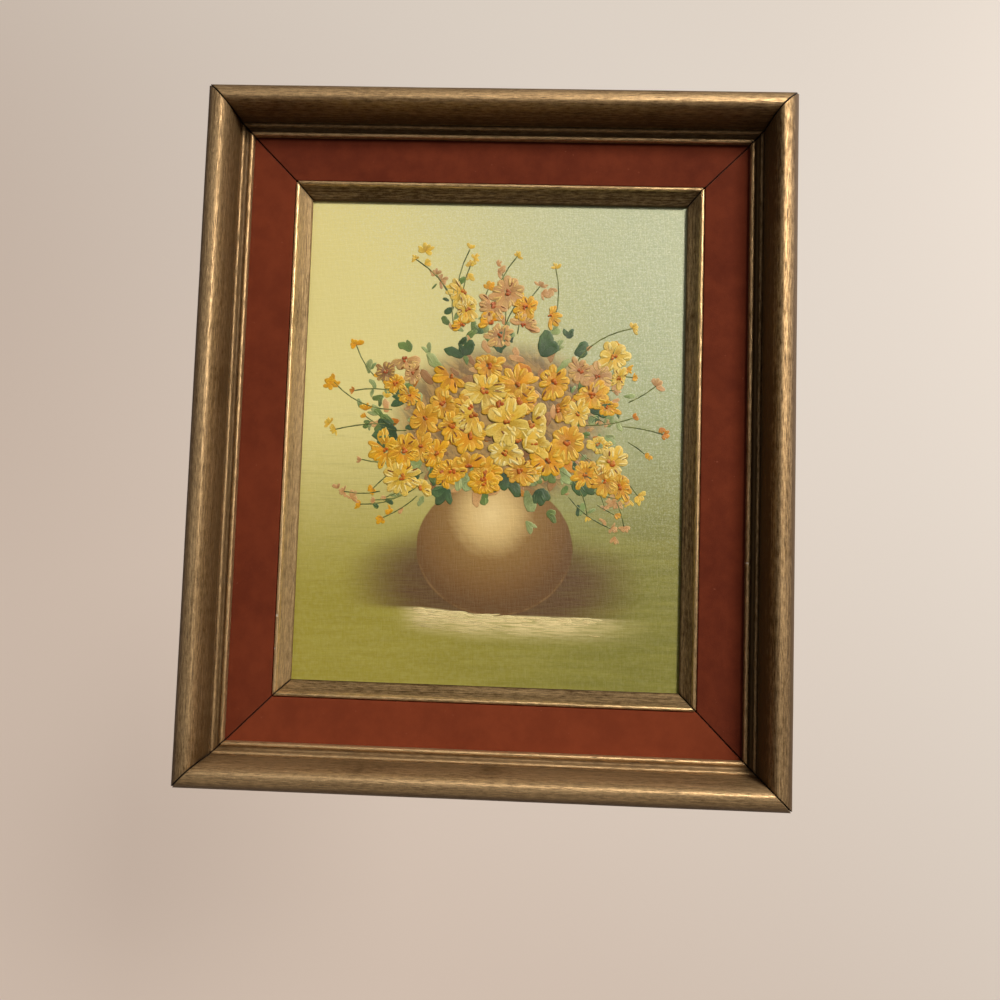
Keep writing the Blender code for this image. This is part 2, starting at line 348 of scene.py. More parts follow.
def bare_wood_finish(name, grain):
    """Planed softwood with its grain along x, along z, or along the rail it is on."""
    f = Finish(name)
    x, y, z = f.parts(f.place())
    if grain == "rail":
        along, across = f.attribute("along"), f.attribute("across")
    else:
        along, across = (x, z) if grain == "x" else (z, x)
    fibres = f.noise(f.vector(along * 30.0, across * 1400.0, y * 900.0), 1.0, 4.0, 0.6)
    rings = f.noise(f.vector(along * 6.0, across * 160.0, y * 120.0), 1.0, 2.0, 0.5, 0.6)
    dirt = f.noise(f.vector(x * 40.0, y * 40.0, z * 40.0), 1.0, 4.0, 0.6).rise(0.5, 0.8)
    base = f.mix(rings.rise(0.35, 0.65), colour(214, 180, 132), colour(184, 142, 92))
    base = f.mix(fibres.rise(0.4, 0.75) * 0.5, base, colour(156, 114, 72))
    base = f.mix(dirt * 0.35, base, colour(116, 90, 64))
    return f.dress(base, 0.72 + fibres * 0.12, 0.0, fibres * 0.6 + rings * 0.4, 0.08 * MM)


def steel_finish():
    """Zinc-plated strip, brushed along its length and a little dulled."""
    f = Finish("zinc_steel")
    x, y, z = f.parts(f.place())
    brushed = f.noise(f.vector(x * 90.0, y * 2200.0, z * 2200.0), 1.0, 3.0, 0.6)
    spots = f.noise(f.vector(x, y, z), 420.0, 4.0, 0.6).rise(0.52, 0.75)
    base = f.mix(spots * 0.55, colour(190, 190, 184), colour(120, 112, 98))
    return f.dress(base, 0.28 + brushed * 0.14 + spots * 0.22, 0.95, brushed * 0.6 - spots * 0.4, 0.02 * MM)


WEAVE_PITCH = 0.62 * MM


def weave(f, place):
    """The height of plain-woven thread, 0 to 1, with slubs; threads run across and up the picture."""
    x, _, z = f.parts(place)
    slub_x = f.noise(f.vector(x * 190.0, 0.0, z * 1500.0), 1.0, 2.0)
    slub_z = f.noise(f.vector(x * 1500.0, 0.0, z * 190.0), 1.0, 2.0)
    turn = math.pi / WEAVE_PITCH
    warp_side = (x * turn + slub_z * 3.0).sine()
    weft_side = (z * turn + slub_x * 3.0).sine()
    over = warp_side * weft_side
    threads = abs(warp_side) * (0.5 + over * 0.5) + abs(weft_side) * (0.5 - over * 0.5)
    return threads * 0.6 + slub_x * 0.4 + slub_z * 0.4


def cloth_finish(name, pale, dark, roughness):
    f = Finish(name)
    place = f.place()
    threads = weave(f, place)
    stain = f.noise(place, 24.0, 4.0, 0.6).rise(0.35, 0.8)
    share = (threads.rise(0.2, 0.9) * 0.6 + stain * 0.4).held()
    return f.dress(f.mix(share, pale, dark), roughness, 0.0, threads, 0.12 * MM)


# The picture's plan, in millimetres from the middle of the opening
VASE_MIDDLE = (3.0, -52.0)
VASE_HALF = (38.0, 33.0)
VASE_LIGHT = (1.0, -36.0)
TABLE_TOP = -81.6
TABLE_LEFT = -36
TABLE_DROP = 2.6
TABLE_LENGTH = 86
TABLE_SLOPE = 38
BOUQUET_MIDDLE = (3.0, 8.0)
BOUQUET_HALF = (56.0, 42.0)


def squared_distance(x, z, middle, half):
    """1 on an oval's edge, less inside."""
    dx = (x - middle[0]) / half[0]
    dz = (z - middle[1]) / half[1]
    return dx * dx + dz * dz


def picture_finish():
    """The painted ground: a blended pale-to-olive field, a table, a round vase and its shadow."""
    f = Finish("oil_ground")
    place = f.place()
    obj_x, _, obj_z = f.parts(place)
    true_x = obj_x / MM
    true_z = (obj_z - CENTRE_UP) / MM
    soft = f.noise(f.vector(obj_x * 0.5, 0.0, obj_z), 26.0, 3.0, 0.5) - 0.5
    bristle = f.noise(f.vector(true_x * 0.035, 0.0, true_z * 0.9), 1.0, 3.0, 0.65)
    turned = f.vector((true_x + true_z) * 0.22, 0.0, (true_x - true_z) * 0.07)
    cross = f.noise(turned, 1.0, 4.0, 0.65, 0.8)
    scumble = f.noise(place, 420.0, 3.0, 0.65)

    field = painted_field(f, place, true_x, true_z, soft, bristle, cross, scumble)
    field = painted_table(f, field, true_x, true_z, soft)
    field = painted_vase(f, field, place, true_x, true_z, bristle, cross)

    threads = weave(f, place)
    field = f.mix(threads.rise(0.6, 0.95) * 0.06, field, colour(250, 244, 206))
    field = f.mix(threads.rise(0.6, 0.3) * 0.045, field, colour(84, 76, 36))
    relief = threads + scumble * 0.35 + bristle * 0.25
    return f.dress(field, 0.33 + threads * 0.08, 0.0, relief, 0.12 * MM, Specular_IOR_Level=0.42)


def painted_field(f, place, true_x, true_z, soft, bristle, cross, scumble):
    """Pale yellow at the upper left, grey-green at the right, olive below, the brown shadows, and painted
    glints of the lamp on the varnish.
    """
    x = true_x + soft * 20.0
    z = true_z + soft * 12.0
    light = f.mix(x.rise(-70.0, 85.0), colour(228, 217, 142), colour(156, 168, 122))
    light = f.mix((x * 0.6 + z).rise(50.0, 150.0) * 0.45, light, colour(194, 202, 168))
    low = f.mix(x.rise(-80.0, 90.0), colour(158, 147, 44), colour(122, 120, 34))
    field = f.mix((z - x * 0.10).rise(30.0, -74.0), light, low)
    field = f.mix(cross.rise(0.35, 0.7) * z.rise(-50.0, 30.0) * 0.08, field, colour(238, 228, 170))
    field = f.mix(scumble.rise(0.4, 0.7) * 0.06, field, colour(246, 240, 190))
    swept = f.noise(f.vector(true_x * 0.022, 7.0, true_z * 0.24), 1.0, 3.0, 0.6)
    field = f.mix(swept.rise(0.35, 0.7) * z.rise(20.0, -60.0) * 0.22, field, colour(186, 176, 84))
    field = f.mix(bristle.rise(0.48, 0.75) * z.rise(60.0, -40.0) * 0.2, field, colour(112, 104, 40))
    # Painted highlight: pale glints of the lamp on the varnish, stronger towards the upper right
    glints = f.noise(place, 1250.0, 3.0, 0.7).rise(0.47, 0.66) * (x * 0.9 + z).rise(-30.0, 110.0)
    field = f.mix(glints * 0.42, field, colour(226, 228, 206))

    below = below_table(true_x, true_z)
    dusk = squared_distance(x, z, (2.0, -70.0), (78.0, 35.0)).rise(1.0, 0.2)
    dusk = dusk * (below + soft * 3.0).rise(2.0, -1.0)
    field = f.mix((dusk * (0.97 + (bristle - 0.5) * 0.5)).held(), field, colour(92, 60, 26))

    mass = squared_distance(x, z, BOUQUET_MIDDLE, BOUQUET_HALF).rise(1.1, 0.5)
    under = f.mix(cross.rise(0.4, 0.6), colour(112, 76, 38), colour(168, 126, 62))
    return f.mix(mass * 0.9, field, under)


def below_table(x, z):
    """Millimetres below the table's lit edge, which drops a little to the right."""
    return TABLE_TOP - z - x.rise(TABLE_LEFT, TABLE_LEFT + TABLE_SLOPE) * TABLE_DROP


def painted_table(f, field, true_x, true_z, soft):
    """Cream light dragged dry along the table's edge."""
    below = below_table(true_x, true_z)
    dry = f.noise(f.vector(true_x * 0.07, 3.0, true_z * 1.1), 1.0, 4.0, 0.7)
    table = below.rise(-0.5, 0.7) * below.rise(15.0, 2.0)
    table = table * (true_x + soft * 6.0).rise(-46.0, -28.0) * true_x.rise(84.0, 30.0)
    share = table * (dry.rise(0.34, 0.6) * 0.8 + 0.28)
    return f.mix(share.held(), field, colour(240, 220, 160))


def painted_vase(f, field, place, true_x, true_z, bristle, cross):
    """A round clay vase with a soft light and a thin pale rim low down."""
    wobble = (f.noise(place, 160.0, 2.0) - 0.5) * 0.04
    bowl = squared_distance(true_x, true_z, VASE_MIDDLE, VASE_HALF) + wobble
    body = bowl.rise(1.01, 0.965) * (true_z + wobble * 20.0).rise(TABLE_TOP - 3.2, TABLE_TOP - 2.2)
    shade = squared_distance(true_x, true_z, VASE_LIGHT, (43.0, 44.0)) ** 0.5
    shade = shade + (bristle - 0.5) * 0.08 + (cross - 0.5) * 0.10
    clay = f.ramp(
        shade,
        (
            (0.0, colour(240, 212, 148)),
            (0.25, colour(218, 186, 120)),
            (0.50, colour(144, 106, 48)),
            (0.80, colour(122, 83, 32)),
            (1.0, colour(103, 67, 24)),
        ),
    )
    rim = bowl.rise(0.92, 0.96) * bowl.rise(1.01, 0.98) * true_z.rise(-54.0, -66.0)
    clay = f.mix(rim * cross.rise(0.35, 0.65) * 0.32, clay, colour(170, 130, 76))
    return f.mix(body, field, clay)


def dab_finish(name):
    """Thick oil paint laid by a loaded brush: tone at the root, lip colour at the end, bristle marks."""
    f = Finish(name)
    tone = f.attribute("tone", "Color")
    lip = f.attribute("lip", "Color")
    along = f.attribute("dab_along")
    across = f.attribute("dab_across")
    place = f.place()
    seed = f.noise(place, 60.0, 1.0)
    bristles = f.noise(f.vector(across * 5.0, along * 0.8, seed * 60.0), 1.0, 3.0, 0.7)
    smear = f.noise(place, 500.0, 3.0, 0.6)
    ridge = abs(across).rise(0.35, 0.95)
    share = along.rise(0.15, 1.0) * 0.6 + ridge * 0.35 + (bristles - 0.5) * 1.3 + (smear - 0.5) * 0.6
    base = f.mix(share.held(), tone, lip)
    groove = bristles.rise(0.47, 0.30) * (1.0 - along * 0.5)
    base = f.mix(groove * 0.5, base, f.mix(0.65, tone, colour(84, 46, 18)))
    relief = bristles * 0.8 + smear * 0.3
    return f.dress(base, 0.36 + smear * 0.1, 0.0, relief, 0.16 * MM, Specular_IOR_Level=0.5)


# Mouldings


def arc(centre, across, up, start, end, steps):
    """Points on an oval, from the start angle to the end angle in degrees."""
    angles = np.radians(np.linspace(start, end, steps + 1))
    return [(centre[0] + across * math.cos(a), centre[1] + up * math.sin(a)) for a in angles]


def hollow(start, end, depth, steps):
    """Points on a curve that sinks below the line between two others; ends left out."""
    run = Vector((end[0] - start[0], end[1] - start[1]))
    side = Vector((run.y, -run.x)).normalized()
    points = []
    for step in range(1, steps):
        share = step / steps
        sink = 4 * depth * share * (1 - share)
        points.append((start[0] + run.x * share + side.x * sink, start[1] + run.y * share + side.y * sink))
    return points


def line(start, end, steps):
    """Points between two others; ends left out."""
    shares = [step / steps for step in range(1, steps)]
    return [(start[0] + (end[0] - start[0]) * s, start[1] + (end[1] - start[1]) * s) for s in shares]


def rounded_rise(start, end, rising, level, steps):
    """Points on a curve that leaves start straight up and reaches end level; start left out."""
    corners = np.array([start, (start[0], start[1] + rising), (end[0] - level, end[1]), end])
    shares = np.arange(1, steps + 1)[:, None] / steps
    rests = 1 - shares
    weights = np.hstack([rests**3, 3 * rests**2 * shares, 3 * rests * shares**2, shares**3])
    return [tuple(point) for point in weights @ corners]


def finished(points, kind, rub_and_shade=0.0, last=None):
    """Points of a section with their kind of surface and how bright their gilt is, from the given value to
    last: rubbed bright by wear, with painted highlight and painted shade in places.
    """
    last = rub_and_shade if last is None else last
    marked = []
    for number, (offset, height) in enumerate(points):
        share = number / max(len(points) - 1, 1)
        marked.append((offset, height, kind, rub_and_shade + (last - rub_and_shade) * share))
    return marked


def moulding_section():
    """The outer moulding: lip bead, groove, small bead, steep rise, crown, long round and side."""
    lip = arc((LIP_BEAD, LIP_TOP - LIP_BEAD), LIP_BEAD, LIP_BEAD, 180, 0, 12)
    bead_middle = (lip[-1][0] + GROOVE_WIDTH + INNER_BEAD, LIP_TOP + INNER_BEAD_RISE - INNER_BEAD)
    bead = arc(bead_middle, INNER_BEAD, INNER_BEAD, 180, 0, 12)
    crest = (bead[-1][0] + CROWN_INNER[0], bead[-1][1] + CROWN_INNER[1])
    inner = rounded_rise(bead[-1], crest, CROWN_STEEP, CROWN_ROUND, 36)
    outer = arc((crest[0], crest[1] - CROWN_OUTER[1]), *CROWN_OUTER, 90, 0, 36)
    side = outer[-1]
    foot = (side[0], BACK_CHAMFER)
    # Gilt brightness along the section: lip, bead and crown are rubbed bright by wear and partly painted as
    # highlight; the groove and steep rise are darker, partly toning in the hollow and partly painted shade;
    # the fall to dark over the outer round and down the side is painted shade
    return (
        finished([(0.0, LIP_BACK)], FACE, 0.3)
        + finished(lip, FACE, 0.95)
        + finished(hollow(lip[-1], bead[0], GROOVE_DEPTH, 8), FACE, 0.05)
        + finished(bead, FACE, 0.65)
        + finished(inner[:14], FACE, 0.0, 0.2)
        + finished(inner[14:], FACE, 0.24, 0.8)
        + finished(outer[1:9], FACE, 0.85, 0.65)
        + finished(outer[9:16], FACE, 0.55, 0.1)
        + finished(outer[16:], FACE, 0.0, -0.2)
        + finished(line(side, foot, 12) + [foot], FACE, 0.06)
        + finished([(side[0] - BACK_CHAMFER, 0.0), (RABBET, 0.0), (RABBET, LIP_BACK)], BARE)
    )


def liner_section():
    """A flat strip covered in front, with a tongue over the slip's flange."""
    edge = arc((LINER_ROUND, LINER_FRONT - LINER_ROUND), LINER_ROUND, LINER_ROUND, 180, 90, 8)
    outer = (LINER_OUTER, LINER_FRONT)
    velvet = [(0.0, TONGUE_BACK)] + edge + line(edge[-1], outer, 24)
    velvet += [outer, (LINER_OUTER, LINER_FRONT - 3 * MM)]
    bare = [(LINER_OUTER, LINER_BACK), (LINER_WALL, LINER_BACK), (LINER_WALL, TONGUE_BACK)]
    return finished(velvet, FACE) + finished(bare, BARE)


def slip_section():
    """A slightly hollow slope up to a bead, with a flange under the liner."""
    bead = arc((SLIP_FACE - SLIP_BEAD, SLIP_FRONT - SLIP_BEAD), SLIP_BEAD, SLIP_BEAD, 180, 0, 12)
    edge_top = (0.0, SLIP_BACK + SLIP_EDGE)
    flange = SLIP_BACK + SLIP_FLANGE
    # The inner edge, facing the canvas, is kept dark as painted shade; the bead is rubbed bright
    return (
        finished([(0.0, SLIP_BACK), edge_top], FACE, 0.0)
        + finished(hollow(edge_top, bead[0], SLIP_BEAD / 4, 18), FACE, 0.35)
        + finished(bead, FACE, 0.9)
        + finished([(SLIP_FACE, flange)], FACE, 0.2)
        + finished([(SLIP_FLANGE_END, flange), (SLIP_FLANGE_END, SLIP_BACK)], BARE)
    )


def hills(x, y, seed):
    """Smooth random heights between 0 and 1, a cell wide."""
    table = np.random.default_rng(seed).random((128, 128))
    low_x = np.floor(x).astype(int)
    low_y = np.floor(y).astype(int)
    share_x = x - low_x
    share_y = y - low_y
    share_x = share_x * share_x * (3 - 2 * share_x)
    share_y = share_y * share_y * (3 - 2 * share_y)
    corners = [table[(low_x + i) % 128, (low_y + j) % 128] for i, j in ((0, 0), (1, 0), (0, 1), (1, 1))]
    near = corners[0] * (1 - share_x) + corners[1] * share_x
    far = corners[2] * (1 - share_x) + corners[3] * share_x
    return near * (1 - share_y) + far * share_y


SIDES = {"top": 0, "right": 1, "bottom": 2, "left": 3}


def turned_to(side, x, up):
    """Turns a top rail's across and up values to another side of the frame."""
    return ((x, up), (up, -x), (-x, -up), (-up, x))[SIDES[side]]


def walk_round(points):
    """How far round a section each of its points is, and the way in from each."""
    following = np.roll(points, -1, axis=0)
    lengths = np.linalg.norm(following - points, axis=1)
    across = np.concatenate([[0.0], np.cumsum(lengths)[:-1]])
    tangent = following - np.roll(points, 1, axis=0)
    tangent /= np.maximum(np.linalg.norm(tangent, axis=1), 1e-9)[:, None]
    return across, np.stack([tangent[:, 1], -tangent[:, 0]], axis=1)


def stations_along(inner):
    """Places along a rail from -1 to 1, with a narrow dark seam at both ends."""
    stations = np.linspace(-1.0, 1.0, int(2 * inner / RAIL_STEP) + 1)
    seam = 1.0 - SEAM_WIDTH / inner
    return np.concatenate([[-1.0, -seam], stations[1:-1], [seam, 1.0]])


def tube_mesh(name, places):
    """A mesh of rows of places, each row closed on itself, with a cap at both ends."""
    rows, columns = places.shape[:2]
    grid = np.arange(rows * columns).reshape(rows, columns)
    wrapped = np.roll(grid, -1, axis=1)
    faces = np.stack([grid[:-1], wrapped[:-1], wrapped[1:], grid[1:]], axis=2).reshape(-1, 4)
    caps = [grid[0].tolist(), grid[-1].tolist()]
    mesh = bpy.data.meshes.new(name)
    mesh.from_pydata(places.reshape(-1, 3).tolist(), [], faces.tolist() + caps)
    return mesh


def mitred_rail(name, section, half, side, sink, materials, seed):
    """A closed mitred rail. Sink gives how far its skin is worn in, from places along and across it."""
    inner, beyond = half if side in ("top", "bottom") else half[::-1]
    points = np.array([point[:2] for point in section])
    kinds = np.array([point[2] for point in section])
    rub_and_shade = np.array([point[3] for point in section])
    rub_and_shade = np.convolve(np.tile(rub_and_shade, 3), np.ones(3) / 3, "same")[len(rub_and_shade) : 2 * len(rub_and_shade)]
    seen = (kinds == FACE) & (points[:, 1] > SEEN_HEIGHT)
    seen &= points[:, 0] < points[:, 0].max() - OUTER_RIM
    gaps = np.where(seen, MITRE_GAP, TIGHT_GAP) / math.sqrt(2)
    across, inward = walk_round(points)
    stations = stations_along(inner)
    ends = (np.abs(stations) == 1.0).astype(float)
    reach = inner + points[:, 0] - gaps
    along = stations[:, None] * reach[None, :]
    spread = np.broadcast_to(across[None, :], along.shape)
    worn = (sink(along, spread, seed) + SEAM_DEPTH * ends[:, None]) * (kinds == FACE)[None, :]
    offset = points[None, :, 0] + inward[None, :, 0] * worn
    height = points[None, :, 1] + inward[None, :, 1] * worn
    x = stations[:, None] * (inner + offset - gaps[None, :])
    up = beyond + offset
    world_x, world_z = turned_to(side, x, up)
    mesh = tube_mesh(name, np.stack([world_x, BACK - height, CENTRE_UP + world_z], axis=2))
    rows, columns = along.shape
    for material in materials:
        mesh.materials.append(material)
    slots = np.tile(kinds, rows - 1).tolist() + [FACE, FACE]
    mesh.polygons.foreach_set("material_index", slots)
    give(mesh, "along", along.ravel())
    give(mesh, "across", spread.ravel())
    give(mesh, "rub_and_shade", np.tile(rub_and_shade, rows))
    give(mesh, "lot", np.full(rows * columns, seed % 17))
    give(mesh, "seam", np.repeat(ends, columns))
    point_outwards(mesh)
    mesh.shade_smooth()
    mesh.set_sharp_from_angle(angle=SHARP_ANGLE)
    return add(name, mesh)


def give(mesh, name, values):
    """Stores one number for each point of a mesh."""
    layer = mesh.attributes.new(name, "FLOAT", "POINT")
    layer.data.foreach_set("value", np.asarray(values, dtype=np.float32))


def point_outwards(mesh):
    bm = bmesh.new()
    bm.from_mesh(mesh)
    bmesh.ops.recalc_face_normals(bm, faces=bm.faces)
    bm.to_mesh(mesh)
    bm.free()


def add(name, mesh):
    ob = bpy.data.objects.new(name, mesh)
    bpy.context.collection.objects.link(ob)
    return ob


def grain_wear(along, across, seed):
    """Open grain that shows through the gilding, and gentle unevenness from sanding."""
    fibres = hills(along / (9 * MM), across / (0.55 * MM), seed)
    waves = hills(along / (38 * MM), across / (6 * MM), seed + 1)
    return 0.05 * MM * fibres * fibres + 0.10 * MM * waves


def pile_wear(along, across, seed):
    """Velvet lies a little unevenly over its strip."""
    rolls = hills(along / (14 * MM), across / (7 * MM), seed)
    fine = hills(along / (2.2 * MM), across / (1.4 * MM), seed + 1)
    return 0.16 * MM * rolls + 0.04 * MM * fine


def slip_wear(along, across, seed):
    """Fine open grain."""
    fibres = hills(along / (14 * MM), across / (0.45 * MM), seed)
    return 0.06 * MM * fibres


def settle(piece, slot, *nodes):
    """The piece rides on the part and stands for its solids, which are hidden; the slot is not used."""
    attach(piece, "root")
    if nodes:
        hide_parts(*nodes)


# Painted light: how much brighter or duller each side of a ring is painted, for how the lamp falls on it (on
# the velvet, on its pile): top, right, bottom, left
FRAME_SIDE_LIGHT = (0.0, -0.16, 0.16, 0.0)
LINER_SIDE_LIGHT = (0.0, 0.0, 1.0, 0.45)
SLIP_SIDE_LIGHT = (-0.15, -0.08, -0.05, 0.2)


def make_rails():
    """Three rings of four mitred rails: moulding, liner and slip."""
    bare = bare_wood_finish("bare_wood_rails", "rail")
    gilt = gilt_finish(
        "bronze_gilt", colour(98, 72, 38), colour(228, 192, 142), colour(44, 28, 12), 0.6, 0.48, 0.6
    )
    slip_gilt = gilt_finish(
        "slip_gilt", colour(84, 62, 32), colour(238, 202, 148), colour(56, 38, 18), 0.7, 0.42, 0.5
    )
    velvet = velvet_finish()
    kinds = (
        ("frame_rail", moulding_section(), LIP_HALF, grain_wear, gilt, "bronze_gilt", FRAME_SIDE_LIGHT),
        ("liner_rail", liner_section(), LINER_HALF, pile_wear, velvet, "rust_velvet", LINER_SIDE_LIGHT),
        ("slip_rail", slip_section(), SIGHT_HALF, slip_wear, slip_gilt, "slip_gilt", SLIP_SIDE_LIGHT),
    )
    for first, (piece, section, half, sink, face, slot, tones) in enumerate(kinds):
        for side in SIDES:
            seed = 11 + 10 * first + SIDES[side]
            name = f"{piece}_{side}"
            rail = mitred_rail(f"{name}_finished", section, half, side, sink, (face, bare), seed)
            # Each side's painted light, stored on its rail
            give(rail.data, "painted_side_light", np.full(len(rail.data.vertices), tones[SIDES[side]]))
            settle(rail, slot, name)


# Cloth


CLOTH_TURN = 1.2 * MM
CLOTH_STEPS = (50, 62)
FRAYED = 0.5


def cloth_rings():
    """The wrap's course from the front's edge over the side to the hem's end, as (inset, height)."""
    rings = [(CLOTH_TURN, CLOTH_FRONT)]
    for angle in (22.5, 45.0, 67.5, 90.0):
        a = math.radians(angle)
        rings.append((CLOTH_TURN * (1 - math.sin(a)), CLOTH_FRONT - CLOTH_TURN * (1 - math.cos(a))))
    rings += [(0.0, CLOTH_FRONT * 0.66), (0.0, CLOTH_FRONT * 0.33)]
    for angle in (0.0, 30.0, 60.0, 90.0):
        a = math.radians(angle)
        rings.append((CLOTH_TURN * (1 - math.cos(a)), HEM_BACK + CLOTH_TURN * (1 - math.sin(a))))
    return rings + [(HEM_WIDTH * share, HEM_BACK) for share in (0.4, 0.7, 1.0)]


def cloth_edge():
    """Places once round the cloth, from -1 to 1 both ways, with their cells of the front's grid."""
    wide, high = CLOTH_STEPS
    cells = [(i, 0) for i in range(wide)] + [(wide, j) for j in range(high)]
    cells += [(wide - i, high) for i in range(wide)] + [(0, high - j) for j in range(high)]
    return [((-1 + 2 * i / wide, -1 + 2 * j / high), (i, j)) for i, j in cells]


def cloth_mesh():
    """The front as a grid, with the wrap sewn to its edge: slot 0 in front, slot 1 on the wrap."""
    rng = random.Random(5)
    bm = bmesh.new()
    edge = cloth_edge()
    rings = cloth_rings()
    loops = []
    for inset, height in rings:
        fray = FRAYED if (inset, height) == rings[-1] else 0.0
        loop = []
        for (share_x, share_z), _ in edge:
            frayed = rng.uniform(-fray, fray) * MM if fray else 0.0
            x = share_x * (CLOTH_HALF[0] - inset + frayed)
            z = share_z * (CLOTH_HALF[1] - inset + frayed)
            loop.append(bm.verts.new((x, BACK - height, CENTRE_UP + z)))
        loops.append(loop)
    front = {cell: vert for (_, cell), vert in zip(edge, loops[0])}
    wide, high = CLOTH_STEPS
    for i in range(1, wide):
        for j in range(1, high):
            x = (-1 + 2 * i / wide) * (CLOTH_HALF[0] - CLOTH_TURN)
            z = (-1 + 2 * j / high) * (CLOTH_HALF[1] - CLOTH_TURN)
            front[(i, j)] = bm.verts.new((x, BACK - CLOTH_FRONT, CENTRE_UP + z))
    for i in range(wide):
        for j in range(high):
            bm.faces.new([front[(i, j)], front[(i + 1, j)], front[(i + 1, j + 1)], front[(i, j + 1)]])
    for first, second in zip(loops, loops[1:]):
        for a in range(len(edge)):
            b = (a + 1) % len(edge)
            bm.faces.new((first[b], first[a], second[a], second[b])).material_index = 1
    mesh = bpy.data.meshes.new("canvas_cloth")
    bm.to_mesh(mesh)
    bm.free()
    mesh.shade_smooth()
    return mesh


def make_cloth():
    """The canvas, wrapped round its bars: one sheet, painted in front, primed on its sides and hem."""
    mesh = cloth_mesh()
    mesh.materials.append(picture_finish())
    mesh.materials.append(cloth_finish("primed_cloth", colour(228, 222, 206), colour(196, 186, 162), 0.85))
    mesh.materials.append(cloth_finish("raw_cloth", colour(206, 190, 156), colour(158, 136, 100), 0.95))
    cloth = add("canvas_cloth", mesh)
    solid = cloth.modifiers.new("cloth thickness", "SOLIDIFY")
    solid.thickness = CLOTH_THICKNESS
    solid.offset = -1.0
    solid.material_offset = 2
    solid.material_offset_rim = 2
    settle(cloth, "painted_canvas", "canvas")


# Paint laid in relief


class Recipe(Tree):
    """A geometry tree with named inputs."""

    def __init__(self, name):
        super().__init__(bpy.data.node_groups.new(name, "GeometryNodeTree"))
        self.tree.interface.new_socket("Geometry", in_out="INPUT", socket_type="NodeSocketGeometry")
        self.tree.interface.new_socket("Geometry", in_out="OUTPUT", socket_type="NodeSocketGeometry")
        self.start = self.tree.nodes.new("NodeGroupInput")
        self.identifiers = {}

    def geometry(self):
        return Value(self, self.start.outputs["Geometry"])

    def asks(self, name, kind="NodeSocketFloat"):
        """A named input of the tree."""
        made = self.tree.interface.new_socket(name, in_out="INPUT", socket_type=kind)
        self.identifiers[name] = made.identifier
        return Value(self, self.start.outputs[name])

    def attribute(self, name, kind="FLOAT"):
        return self.node("GeometryNodeInputNamedAttribute", {"data_type": kind}, {"Name": name})

    def keep(self, geometry, name, value):
        inputs = {"Geometry": geometry, "Name": name, "Value": value}
        settings = {"data_type": "FLOAT", "domain": "POINT"}
        return self.node("GeometryNodeStoreNamedAttribute", settings, inputs)

    def give_back(self, geometry, material):
        solid = self.node("GeometryNodeRealizeInstances", {}, {"Geometry": geometry})
        inputs = {"Geometry": solid, "Material": material}
        end = self.node("GeometryNodeSetMaterial", {}, inputs)
        out = self.tree.nodes.new("NodeGroupOutput")
        self.tree.links.new(end.socket, out.inputs["Geometry"])

    def cook(self, source, name, values):
        """Runs the tree on an object and returns its result as a plain object."""
        step = source.modifiers.new(name, "NODES")
        step.node_group = self.tree
        for label, value in values.items():
            step[self.identifiers[label]] = value
        graph = bpy.context.evaluated_depsgraph_get()
        mesh = bpy.data.meshes.new_from_object(source.evaluated_get(graph))
        source.modifiers.remove(step)
        bpy.data.objects.remove(source, do_unlink=True)
        mesh.name = name
        return add(name, mesh)


def dab_recipe():
    """A brush dab on each point: pointed at its root, full at its end, its paint pushed to the rim."""
    r = Recipe("brush dabs")
    fullness = r.asks("Fullness")
    ridges = r.asks("Ridges")
    wander = r.asks("Wander")
    fineness = r.asks("Fineness", "NodeSocketInt")
    material = r.asks("Material", "NodeSocketMaterial")
    ball = r.node("GeometryNodeMeshUVSphere", {}, {"Segments": fineness, "Rings": fineness * 0.65})
    x, y, z = r.parts(r.node("GeometryNodeInputPosition"))
    along = z * 0.5 + 0.5
    shaped = r.keep(ball, "dab_along", along)
    shaped = r.keep(shaped, "dab_across", x)
    wide = x * (1.0 - fullness * 0.62 + along * fullness * 0.9)
    rim = 0.6 + x * x * 1.0 + along.rise(0.6, 0.95) * 0.5
    crown = y.least(0.0) * (0.35 + along * 0.5) * rim * (1.0 + (x * ridges).sine() * 0.18)
    under = y.most(0.0) * 0.1
    place = r.vector(wide, crown + under, along - abs(x * x) * along.rise(0.5, 1.0) * 0.06)
    shaped = r.node("GeometryNodeSetPosition", {}, {"Geometry": shaped, "Position": place})
    inputs = {
        "Points": r.geometry(),
        "Instance": shaped,
        "Rotation": r.attribute("turn", "FLOAT_VECTOR"),
        "Scale": r.attribute("spread", "FLOAT_VECTOR"),
    }
    laid = r.node("GeometryNodeInstanceOnPoints", {}, inputs)
    laid = r.node("GeometryNodeRealizeInstances", {}, {"Geometry": laid})
    here = r.node("GeometryNodeInputPosition")
    drift = r.node("ShaderNodeTexNoise", {}, {"Vector": here, "Scale": 260.0, "Detail": 2.0}, "Color")
    drift = r.node("ShaderNodeVectorMath", {"operation": "SUBTRACT"}, {0: drift, 1: (0.5, 0.5, 0.5)})
    flat = r.node("ShaderNodeVectorMath", {"operation": "MULTIPLY"}, {0: drift, 1: (1.0, 0.0, 1.0)})
    moved = r.node("ShaderNodeVectorMath", {"operation": "SCALE"}, {0: flat, "Scale": wander})
    laid = r.node("GeometryNodeSetPosition", {}, {"Geometry": laid, "Offset": moved})
    smooth = r.node("GeometryNodeSetShadeSmooth", {}, {"Geometry": laid})
    r.give_back(smooth, material)
    return r


def add_points(name, places, **columns):
    """Bare points, each with its vectors (three numbers) or colours (four numbers)."""
    mesh = bpy.data.meshes.new(name)
    mesh.from_pydata(places, [], [])
    for label, values in columns.items():
        kind, field = ("FLOAT_VECTOR", "vector") if len(values[0]) == 3 else ("FLOAT_COLOR", "color")
        layer = mesh.attributes.new(label, kind, "POINT")
        layer.data.foreach_set(field, np.array(values, dtype=np.float32).ravel())
    return add(name, mesh)


